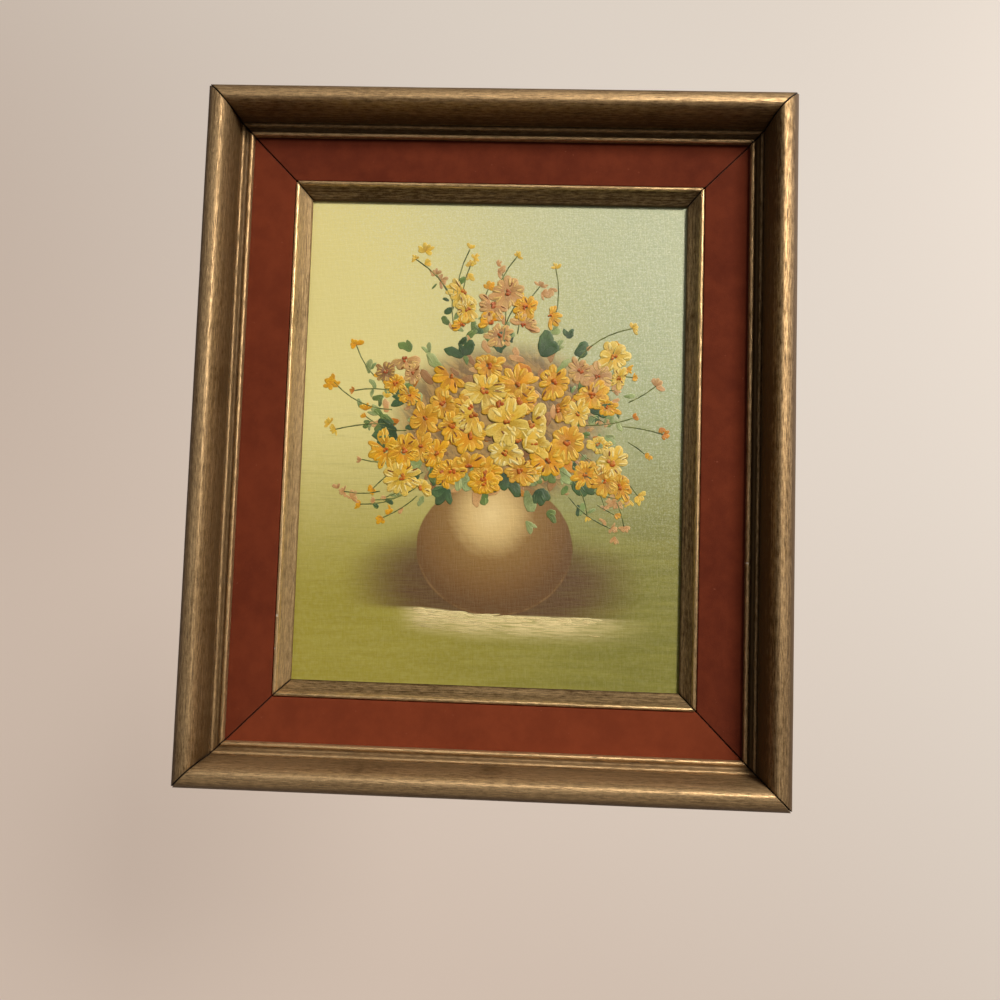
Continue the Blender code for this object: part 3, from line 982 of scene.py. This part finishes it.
class Dabs:
    """A list of dabs to lay, in the picture's plan."""

    def __init__(self):
        self.places = []
        self.columns = {"turn": [], "spread": [], "tone": [], "lip": []}

    def lay(self, x, z, angle, length, width, thickness, layer, tone, lip):
        """One dab from its root at x, z, running at an angle clockwise from up; sizes in millimetres."""
        self.places.append((x * MM, BACK - CLOTH_FRONT - layer * MM, CENTRE_UP + z * MM))
        self.columns["turn"].append((0.0, angle, 0.0))
        self.columns["spread"].append((width / 2 * MM, thickness * MM, length * MM))
        self.columns["tone"].append(tone)
        self.columns["lip"].append(lip)

    def paint(self, recipe, name, material, fullness, ridges, wander, fineness):
        source = add_points(f"{name}_points", self.places, **self.columns)
        values = {"Fullness": fullness, "Ridges": ridges, "Wander": wander * MM}
        values.update({"Fineness": fineness, "Material": material})
        settle(recipe.cook(source, name, values), "painted_canvas")


def varied(rng, shade, spread):
    """The shade, a little lighter or darker."""
    factor = 1 + rng.uniform(-spread, spread)
    warm = 1 + rng.uniform(-spread, spread) * 0.3
    scales = (factor * warm, factor, factor)
    return (*(min(part * scale, 1.0) for part, scale in zip(shade, scales)), 1.0)


AMBER = (colour(208, 140, 8), colour(232, 180, 22))
GOLDEN = (colour(196, 134, 16), colour(222, 170, 40))
LEMON = (colour(208, 164, 40), colour(234, 206, 96))
TANGERINE = (colour(186, 110, 18), colour(214, 150, 38))
ROSE = (colour(184, 134, 78), colour(214, 174, 116))
MAUVE = (colour(140, 98, 56), colour(176, 134, 84))
RUST = colour(184, 76, 14)
SHADE = colour(132, 76, 20)
LEAF_DARK = (colour(52, 78, 44), colour(84, 112, 66))
LEAF_MID = (colour(86, 110, 50), colour(124, 144, 78))
LEAF_PALE = (colour(124, 142, 80), colour(172, 184, 124))
CREAM = colour(240, 226, 164)
BUTTER = colour(238, 206, 96)


def between(first, second, share):
    """A colour part of the way from the first to the second."""
    return tuple(a + (b - a) * share for a, b in zip(first, second))


def ridge_stroke(accents, rng, x, z, angle, reach, width, layer, shade):
    """A thin stroke along one side of a petal or leaf, where the brush left its edge of paint."""
    side = rng.choice((-1, 1)) * width * rng.uniform(0.12, 0.3)
    begin = reach * rng.uniform(0.25, 0.45)
    accents.lay(
        x + math.sin(angle) * begin + math.cos(angle) * side,
        z + math.cos(angle) * begin - math.sin(angle) * side,
        angle + rng.uniform(-0.08, 0.08),
        reach * rng.uniform(0.4, 0.6),
        width * rng.uniform(0.14, 0.24),
        0.2,
        layer,
        shade,
        shade,
    )


def blossom(paints, rng, x, z, radius, layer, tones, lean, weight=1.0):
    """A daisy-like head: petals with gaps between them round a dark heart, tipped away from lean."""
    count = rng.randint(9, 13)
    slant = rng.uniform(0.05, 0.5)
    start = rng.uniform(0, math.tau)
    half_hidden = rng.random() < 0.22
    edge = between(tones[1], CREAM if tones is LEMON else BUTTER, rng.uniform(0.2, 0.7))
    for number in range(count):
        angle = start + math.tau * number / count + rng.uniform(-0.16, 0.16)
        if half_hidden and math.sin(angle - lean) < -0.25:
            continue
        reach = radius * rng.uniform(0.74, 1.12) * (1 - slant * abs(math.sin(angle - lean)))
        width = math.tau * radius / count * rng.uniform(0.74, 1.0)
        inner = radius * 0.12
        root_x = x + inner * math.sin(angle)
        root_z = z + inner * math.cos(angle)
        heading = angle + rng.uniform(-0.12, 0.12)
        thickness = rng.uniform(0.28, 0.44) * weight
        step = layer + 0.014 * (number % 3)
        tone = varied(rng, tones[0], 0.25)
        lip = varied(rng, between(tones[1], edge, rng.random() * 0.7), 0.12)
        paints["petals"].lay(root_x, root_z, heading, reach, width, thickness, step, tone, lip)
        for chance, shade in ((0.8, edge), (0.5, edge), (0.22, SHADE)):
            if rng.random() < chance:
                level = step + thickness * 0.62
                ridge_stroke(paints["accents"], rng, root_x, root_z, heading, reach, width, level, shade)
    heart(paints["hearts"], rng, x, z, radius * rng.uniform(0.13, 0.2), layer, tones[0], weight)


def heart(hearts, rng, x, z, size, layer, lip, weight):
    """Four thick rust-coloured dabs pressed together in a blossom's middle."""
    for number in range(4):
        angle = rng.uniform(0, math.tau)
        hearts.lay(
            x + size * 0.6 * math.sin(angle),
            z + size * 0.6 * math.cos(angle) - size * 0.45,
            rng.uniform(-0.6, 0.6),
            size * 1.2,
            size * 1.2,
            0.36 * weight,
            layer + 0.28 * weight + 0.02 * number,
            varied(rng, RUST, 0.25),
            varied(rng, lip, 0.25),
        )


def leaf_fan(paints, rng, x, z, heading, length, pair, layer, count):
    """A few broad leaves that spread from one place."""
    for number in range(count):
        turn = heading + (number - (count - 1) / 2) * rng.uniform(0.5, 0.9)
        reach = length * rng.uniform(0.75, 1.2)
        width = reach * rng.uniform(0.36, 0.66)
        tone = varied(rng, pair[0], 0.25)
        lip = varied(rng, pair[1], 0.25)
        step = layer + 0.012 * number
        paints["leaves"].lay(x, z, turn, reach, width, 0.22, step, tone, lip)
        if rng.random() < 0.6:
            shade = between(tone, lip, rng.uniform(0.2, 1.1))
            ridge_stroke(paints["accents"], rng, x, z, turn, reach, width, step + 0.1, shade)


SPRAY_STEPS = 8


def spray(paints, stems, rng, root, tip):
    """A thin stem that curves out of the bouquet to a bud, with a few small leaves."""
    run = Vector((tip[0] - root[0], tip[1] - root[1]))
    side = Vector((-run.y, run.x)).normalized()
    bow = rng.choice((-1, 1)) * rng.uniform(0.05, 0.2) * run.length
    points = []
    for step in range(SPRAY_STEPS + 1):
        share = step / SPRAY_STEPS
        lift = 4 * bow * share * (1 - share)
        points.append((root[0] + run.x * share + side.x * lift, root[1] + run.y * share + side.y * lift))
    stems.append(points[rng.randint(0, 4) + 2 :])
    heading = math.atan2(points[-1][0] - points[-3][0], points[-1][1] - points[-3][1])
    tones = rng.choice((AMBER, GOLDEN, LEMON, LEMON, ROSE, ROSE, ROSE, TANGERINE))
    for head in range(rng.choice((1, 1, 2, 3))):
        x = points[-1][0] + rng.uniform(-5, 5) * min(head, 1)
        z = points[-1][1] + rng.uniform(-5, 5) * min(head, 1)
        bud(paints, rng, x, z, heading + head, tones)
    for _ in range(rng.randint(2, 5)):
        at = points[rng.randint(1, 6)]
        x = at[0] + rng.uniform(-3.5, 3.5)
        z = at[1] + rng.uniform(-3.5, 3.5)
        turn = heading + rng.choice((-1, 1)) * rng.uniform(0.3, 1.6)
        pair = rng.choice((LEAF_DARK, LEAF_MID, LEAF_PALE, LEAF_PALE, ROSE))
        leaf_fan(paints, rng, x, z, turn, rng.uniform(3.0, 6.5), pair, 0.0, 1)


def bud(paints, rng, x, z, heading, tones):
    """A few small petals that open from one place."""
    petals = rng.randint(3, 6)
    size = rng.uniform(2.2, 4.6)
    for number in range(petals):
        turn = heading + (number - (petals - 1) / 2) * rng.uniform(0.4, 0.8)
        length = size * rng.uniform(0.7, 1.15)
        width = size * rng.uniform(0.35, 0.65)
        tone = varied(rng, tones[0], 0.25)
        lip = varied(rng, tones[1], 0.15)
        paints["petals"].lay(x, z, turn, length, width, 0.2, 0.01 * number, tone, lip)


# Sprays leave the bouquet in loose groups: centre, spread and how many
SPRAYS = (
    ((-4, 84), (42, 14), 11),
    ((-64, 10), (18, 48), 11),
    ((64, 14), (19, 50), 14),
    ((-54, -30), (11, 12), 5),
    ((58, -34), (11, 13), 6),
)
# Blossoms stand in loose groups: centre, spread, size, how many and their colours
CROWDS = (
    ((2, 64), (30, 13), 7.8, 10, (AMBER, ROSE, AMBER, LEMON, ROSE)),
    ((-42, -10), (13, 17), 8.8, 5, (AMBER, LEMON, GOLDEN)),
    ((55, -14), (13, 14), 8.8, 5, (GOLDEN, LEMON, AMBER)),
    ((52, 30), (15, 15), 7.6, 6, (AMBER, LEMON, ROSE)),
    ((-46, 30), (12, 11), 6.8, 5, (AMBER, ROSE, MAUVE)),
    ((2, -17), (27, 4), 8.6, 4, (LEMON, AMBER, GOLDEN)),
)


def spiral(rng, centre, spread, count, jitter, start=0.0):
    """Places that fill an oval evenly, the outermost first, each with its angle and share of the way out."""
    places = []
    for number in reversed(range(count)):
        angle = number * math.pi * (3 - math.sqrt(5)) + start
        share = math.sqrt((number + 0.4) / count)
        x = centre[0] + math.cos(angle) * share * spread[0] + rng.uniform(-jitter, jitter)
        z = centre[1] + math.sin(angle) * share * spread[1] + rng.uniform(-jitter, jitter)
        places.append((x, z, angle, share))
    return places


# Each kind of dab: how full its end is, its ridges, how far its edge wanders, and how finely it is made
DAB_SHAPES = {
    "smudges": (0.1, 9.0, 3.0, 12),
    "leaves": (0.35, 6.0, 3.4, 14),
    "petals": (0.7, 6.0, 1.5, 13),
    "hearts": (0.2, 5.0, 0.8, 8),
    "accents": (0.0, 3.0, 1.5, 7),
}
TABLE_DABS = (0.1, 9.0, 1.2, 9)
TABLE_STROKES = 120
# The bunch: how many of a kind, and how far out they stand across and up
SMUDGES = (80, (50, 37))
RING_LEAVES = (17, (45, 35))
LOOSE_LEAVES = (20, (60, 48))
DENSE_BLOSSOMS = (27, (40, 31))
HANGING_LEAVES = 12
HANGING_LEVEL = -13


def make_bouquet():
    """The bunch, from its back to its front: sprays, a soft brown mass, leaves and blossoms."""
    rng = random.Random(31)
    paints = {kind: Dabs() for kind in DAB_SHAPES}
    stems = []
    middle_x, middle_z = BOUQUET_MIDDLE
    for centre, spread, count in SPRAYS:
        for x, z, _, _ in spiral(rng, centre, spread, count, 2.0):
            root = (middle_x + (x - middle_x) * 0.5, middle_z + (z - middle_z) * 0.42)
            spray(paints, stems, rng, root, (x, z))
    count, spread = SMUDGES
    for x, z, _, _ in spiral(rng, BOUQUET_MIDDLE, spread, count, 2.0):
        tone, lip = rng.choice((MAUVE, MAUVE, ROSE, TANGERINE))
        length = rng.uniform(5, 11)
        tones = (varied(rng, tone, 0.25), varied(rng, lip, 0.2))
        paints["smudges"].lay(x, z, rng.uniform(0, math.tau), length, length * 0.45, 0.12, 0.0, *tones)
    make_leaves(paints, rng)
    make_blossoms(paints, rng)
    recipe = dab_recipe()
    paint = dab_finish("oil_dabs")
    for kind, shape in DAB_SHAPES.items():
        paints[kind].paint(recipe, f"paint_{kind}", paint, *shape)
    make_stems(stems)


def make_leaves(paints, rng):
    """Dark leaves round the bunch, paler loose ones further out, and a row that hangs over the vase."""
    middle_x, middle_z = BOUQUET_MIDDLE
    count, (wide, high) = RING_LEAVES
    for number in range(count):
        angle = math.tau * number / count + rng.uniform(-0.16, 0.16)
        x = middle_x + math.sin(angle) * wide * rng.uniform(0.92, 1.14)
        z = middle_z + math.cos(angle) * high * rng.uniform(0.92, 1.12)
        pair = rng.choice((LEAF_DARK, LEAF_DARK, LEAF_MID, LEAF_PALE))
        leaf_fan(paints, rng, x, z, angle, rng.uniform(7.5, 11.5), pair, 0.04, rng.randint(1, 3))

    count, (wide, high) = LOOSE_LEAVES
    for number in range(count):
        angle = math.tau * (number / count - 0.38) * 0.8 + rng.uniform(-0.12, 0.12)
        x = middle_x + math.sin(angle) * wide * rng.uniform(0.84, 1.12)
        z = middle_z + math.cos(angle) * high * rng.uniform(0.84, 1.12)
        pair = rng.choice((LEAF_PALE, LEAF_PALE, LEAF_MID, LEAF_DARK))
        turn = angle + rng.uniform(-0.7, 0.7)
        leaf_fan(paints, rng, x, z, turn, rng.uniform(4.5, 8.0), pair, 0.0, rng.randint(1, 2))

    for number in range(HANGING_LEAVES):
        x = -28 + 6.2 * number + rng.uniform(-2, 2)
        turn = math.pi - (x - 2) * 0.014 + rng.uniform(-0.5, 0.5)
        pair = rng.choice((LEAF_DARK, LEAF_MID, LEAF_MID, LEAF_PALE))
        reach = rng.uniform(6, 11.5)
        z = HANGING_LEVEL + rng.uniform(-3, 3)
        leaf_fan(paints, rng, x, z, turn, reach, pair, 0.03, rng.randint(1, 3))


def make_blossoms(paints, rng):
    """The loose groups first, then the dense middle over them."""
    for centre, spread, radius, count, palette in CROWDS:
        for number, (x, z, angle, _) in enumerate(spiral(rng, centre, spread, count, 1.0, centre[0])):
            tones = palette[(number * 2 + 1) % len(palette)]
            size = radius * rng.uniform(0.75, 1.15)
            blossom(paints, rng, x, z, size, 0.05 + 0.02 * number, tones, angle, 0.75)

    count, spread = DENSE_BLOSSOMS
    for x, z, angle, share in spiral(rng, BOUQUET_MIDDLE, spread, count, 3.5, 0.6):
        radius = (12.4 - 2.8 * share) * rng.uniform(0.76, 1.08)
        palette = (AMBER, AMBER, LEMON, GOLDEN) if share > 0.7 else (LEMON, LEMON, AMBER, AMBER, GOLDEN)
        blossom(paints, rng, x, z, radius, 0.12 + (1 - share) * 0.45, rng.choice(palette), angle)


STEM_BREADTH = 0.34 * MM
STEM_HEIGHT = 0.1 * MM


def make_stems(stems):
    """Every stem as a fine tapering ridge of paint."""
    r = Recipe("paint stems")
    breadth = r.asks("Breadth")
    material = r.asks("Material", "NodeSocketMaterial")
    ring = r.node("GeometryNodeCurvePrimitiveCircle", {}, {"Resolution": 6, "Radius": breadth})
    inputs = {"Curve": r.geometry(), "Profile Curve": ring, "Fill Caps": True}
    tube = r.node("GeometryNodeCurveToMesh", {}, inputs)
    r.give_back(tube, material)
    curve = bpy.data.curves.new("stem_lines", "CURVE")
    curve.dimensions = "3D"
    for points in stems:
        spline = curve.splines.new("POLY")
        spline.points.add(len(points) - 1)
        for number, (x, z) in enumerate(points):
            spline.points[number].co = (x * MM, BACK - CLOTH_FRONT + STEM_HEIGHT, CENTRE_UP + z * MM, 1.0)
            spline.points[number].radius = 1.0 - 0.5 * number / (len(points) - 1)
    source = add("stem_lines", curve)
    piece = r.cook(source, "paint_stems", {"Breadth": STEM_BREADTH, "Material": stem_finish()})
    settle(piece, "painted_canvas")


def stem_finish():
    f = Finish("oil_stems")
    mottled = f.noise(f.place(), 300.0, 3.0, 0.6)
    base = f.mix(mottled.rise(0.35, 0.65), colour(70, 84, 40), colour(132, 138, 76))
    return f.dress(base, 0.42, 0.0, mottled, 0.1 * MM, Specular_IOR_Level=0.5)


def make_table_strokes():
    """Loaded strokes of cream along the table's lit edge, dragged thinner below."""
    rng = random.Random(77)
    strokes = Dabs()
    for _ in range(TABLE_STROKES):
        share = rng.random() ** 1.4
        x = TABLE_LEFT + TABLE_LENGTH * share
        drop = rng.random() ** 1.8 * 9.0
        level = TABLE_TOP - TABLE_DROP * min(max((x - TABLE_LEFT) / TABLE_SLOPE, 0.0), 1.0)
        length = rng.uniform(4, 15) * (1 - 0.5 * share)
        width = rng.uniform(0.35, 0.95) * (1 - 0.05 * drop)
        turn = math.pi / 2 + rng.uniform(-0.05, 0.05) + (0.06 if x < -4 else 0.0)
        pale = 1 - 0.07 * drop * (1 - 0.5 * share)
        tone = varied(rng, between(colour(150, 138, 70), colour(226, 206, 146), pale), 0.1)
        lip = varied(rng, between(colour(160, 146, 78), CREAM, pale), 0.08)
        strokes.lay(x, level - 0.5 - drop, turn, length, width, 0.17, 0.0, tone, lip)
    strokes.paint(dab_recipe(), "paint_table_light", dab_finish("oil_table_light"), *TABLE_DABS)


# The back


def wire_recipe(name):
    """The same bent wire on every point."""
    r = Recipe(name)
    gauge = r.asks("Gauge")
    width = r.asks("Width")
    leg = r.asks("Leg")
    material = r.asks("Material", "NodeSocketMaterial")
    half = width * 0.5
    ends = {"Start": r.vector(-half, 0.0, 0.0), "End": r.vector(half, 0.0, 0.0)}
    crown = r.node("GeometryNodeCurvePrimitiveLine", {}, ends)
    crown = r.node("GeometryNodeResampleCurve", {}, {"Curve": crown, "Count": 9})
    x, _, _ = r.parts(r.node("GeometryNodeInputPosition"))
    bent = (abs(x) / half).rise(0.72, 1.0) * leg
    crown = r.node("GeometryNodeSetPosition", {}, {"Geometry": crown, "Position": r.vector(x, -bent, 0.0)})
    ring = r.node("GeometryNodeCurvePrimitiveCircle", {}, {"Resolution": 8, "Radius": gauge * 0.5})
    tube = r.node("GeometryNodeCurveToMesh", {}, {"Curve": crown, "Profile Curve": ring, "Fill Caps": True})
    inputs = {"Points": r.geometry(), "Instance": tube, "Rotation": r.attribute("turn", "FLOAT_VECTOR")}
    laid = r.node("GeometryNodeInstanceOnPoints", {}, inputs)
    r.give_back(laid, material)
    return r


STAPLE = {"Gauge": 0.6 * MM, "Width": 10.0 * MM, "Leg": 0.7 * MM}
STAPLE_HEIGHT = 0.25 * MM
STAPLES_ON = {"top": 5, "right": 6, "bottom": 5, "left": 6}
BRAD = {"Gauge": 1.2 * MM, "Width": 14.0 * MM, "Leg": 0.4 * MM}
BRAD_HEIGHT = 0.9 * MM
BRAD_INSET = 3.0 * MM


class Fixings:
    """Wires laid on the hem, each at a place along a side and at a depth in from its edge."""

    def __init__(self, height):
        self.y = BACK - HEM_BACK + height
        self.places = []
        self.turns = []

    def lay(self, side, along, inset, quarter, tilt):
        x, up = turned_to(side, along, span(side)[1] - inset)
        self.places.append((x, self.y, CENTRE_UP + up))
        self.turns.append((0.0, quarter * math.pi / 2 + tilt, 0.0))

    def drive(self, name, sizes, steel):
        source = add_points(f"{name}_points", self.places, turn=self.turns)
        piece = wire_recipe(name).cook(source, name, {**sizes, "Material": steel})
        settle(piece, "zinc_steel")


def span(side):
    """Half a side's length, and how far it lies from the middle."""
    return CLOTH_HALF if side in ("top", "bottom") else CLOTH_HALF[::-1]


def make_back(steel):
    """Staples through the hem, and brads from the frame that hold the canvas in."""
    rng = random.Random(9)
    staples = Fixings(STAPLE_HEIGHT)
    for side, count in STAPLES_ON.items():
        half = span(side)[0]
        for number in range(count):
            along = -half + 2 * half * (number + 0.5) / count + rng.uniform(-3, 3) * MM
            inset = rng.uniform(6.5, 8.5) * MM
            staples.lay(side, along, inset, SIDES[side], rng.uniform(-0.3, 0.3))
    staples.drive("hem_staples", STAPLE, steel)

    brads = Fixings(BRAD_HEIGHT)
    for side in SIDES:
        for share in (-0.55, 0.55):
            along = span(side)[0] * share + rng.uniform(-4, 4) * MM
            brads.lay(side, along, BRAD_INSET, SIDES[side] + 1, rng.uniform(-0.25, 0.25))
    brads.drive("canvas_brads", BRAD, steel)


def dress_solids(steel):
    """The hidden solids whose shape is right keep it, and get their finish."""
    along_x = bare_wood_finish("bare_pine_across", "x")
    along_z = bare_wood_finish("bare_pine_upright", "z")
    for side in SIDES:
        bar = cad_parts[f"stretcher_bar_{side}"]
        set_finish(bar, along_x if side in ("top", "bottom") else along_z)
    for node in ("hanger", "hanger_nail_left", "hanger_nail_right"):
        set_finish(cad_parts[node], steel)


def set_finish(ob, material):
    """Gives every slot of a solid one finish."""
    for slot in ob.material_slots:
        slot.material = material


# Camera, lights and stage


# The photograph's view, worked out from the straight edges of the rails
SENSOR_WIDTH = 36.0
LENS = 27.04
CAMERA_PLACE = (0.01595, -0.37871, -0.20508)
CAMERA_TURN = (93.229, -1.816, 1.605)


def make_camera():
    """The camera stands where the photograph was taken from."""
    data = bpy.data.cameras.new("camera")
    data.sensor_width = SENSOR_WIDTH
    data.lens = LENS
    camera = bpy.data.objects.new("camera", data)
    camera.location = CAMERA_PLACE
    camera.rotation_euler = tuple(math.radians(angle) for angle in CAMERA_TURN)
    bpy.context.collection.objects.link(camera)
    bpy.context.scene.camera = camera


def add_light(name, place, aim, size, power, tint, spread):
    data = bpy.data.lights.new(name, "AREA")
    data.shape = "RECTANGLE"
    data.size, data.size_y = size
    data.energy = power
    data.color = tint
    data.spread = math.radians(spread)
    lamp = bpy.data.objects.new(name, data)
    lamp.location = place
    direction = Vector(aim) - Vector(place)
    lamp.rotation_euler = direction.to_track_quat("-Z", "Y").to_euler()
    bpy.context.collection.objects.link(lamp)


# The stage, in metres: how far it runs to each side, forward, back and up, and its curve
STAGE_HALF = 4.0
STAGE_FRONT = -2.2
STAGE_FLOOR = -1.30
STAGE_WALL = 0.95
STAGE_TOP = 2.2
STAGE_SWEEP = 0.35


def make_stage():
    """A pale sweep that glows as painted light, low and well behind, so that no view of the back is blocked.
    """
    plain = Finish("stage_paper")
    x, y, z = plain.parts(plain.place())
    # The sweep glows: painted light, brighter towards the upper right and only dim on the floor in front
    behind = y.rise(0.2, 0.9)
    glow = plain.mix((x * 0.8 + z * 0.7).rise(-0.9, 0.7), colour(183, 165, 151), colour(211, 200, 188))
    glow = plain.mix(behind, colour(70, 66, 60), glow)
    plain.dress(colour(146, 140, 134), 0.9, Emission_Color=glow, Emission_Strength=1.0)
    curve_middle = (STAGE_WALL - STAGE_SWEEP, STAGE_FLOOR + STAGE_SWEEP)
    outline = [(STAGE_FRONT, STAGE_FLOOR)]
    outline += arc(curve_middle, STAGE_SWEEP, STAGE_SWEEP, -90, 0, 12)
    outline.append((STAGE_WALL, STAGE_TOP))
    bm = bmesh.new()
    ends = [[bm.verts.new((x, y, z)) for y, z in outline] for x in (-STAGE_HALF, STAGE_HALF)]
    for a in range(len(outline) - 1):
        bm.faces.new((ends[0][a], ends[1][a], ends[1][a + 1], ends[0][a + 1]))
    mesh = bpy.data.meshes.new("stage_sweep")
    bm.to_mesh(mesh)
    bm.free()
    mesh.materials.append(plain.material)
    mesh.shade_smooth()
    add("stage_sweep", mesh)


MIDDLE = (0.0, 0.0, CENTRE_UP)
# Each lamp: its place, what it is aimed at, its size, power, colour and spread in degrees
LAMPS = {
    "key": ((0.88, -1.35, 0.72), MIDDLE, (0.6, 0.6), 3.2, (1.0, 0.94, 0.86), 50),
    "fill": ((-1.0, -1.3, 0.2), MIDDLE, (1.0, 1.0), 0.32, (1.0, 0.96, 0.92), 60),
    "backdrop_wash": ((1.5, 0.35, 0.5), (0.0, 0.95, -0.1), (0.6, 1.4), 9.0, (1.0, 0.95, 0.92), 180),
}
WORLD_COLOUR = (1.0, 0.95, 0.89, 1.0)
WORLD_STRENGTH = 0.08


def make_light():
    """Soft light from the upper right and a little from the left, with a dim warm room round it."""
    world = bpy.data.worlds.new("studio")
    bpy.context.scene.world = world
    world.use_nodes = True
    background = world.node_tree.nodes["Background"]
    background.inputs["Color"].default_value = WORLD_COLOUR
    background.inputs["Strength"].default_value = WORLD_STRENGTH
    for name, lamp in LAMPS.items():
        add_light(name, *lamp)
    bpy.context.scene.view_settings.view_transform = "Standard"


make_camera()
make_rails()
make_cloth()
make_bouquet()
make_table_strokes()
steel = steel_finish()
make_back(steel)
dress_solids(steel)
make_stage()
make_light()
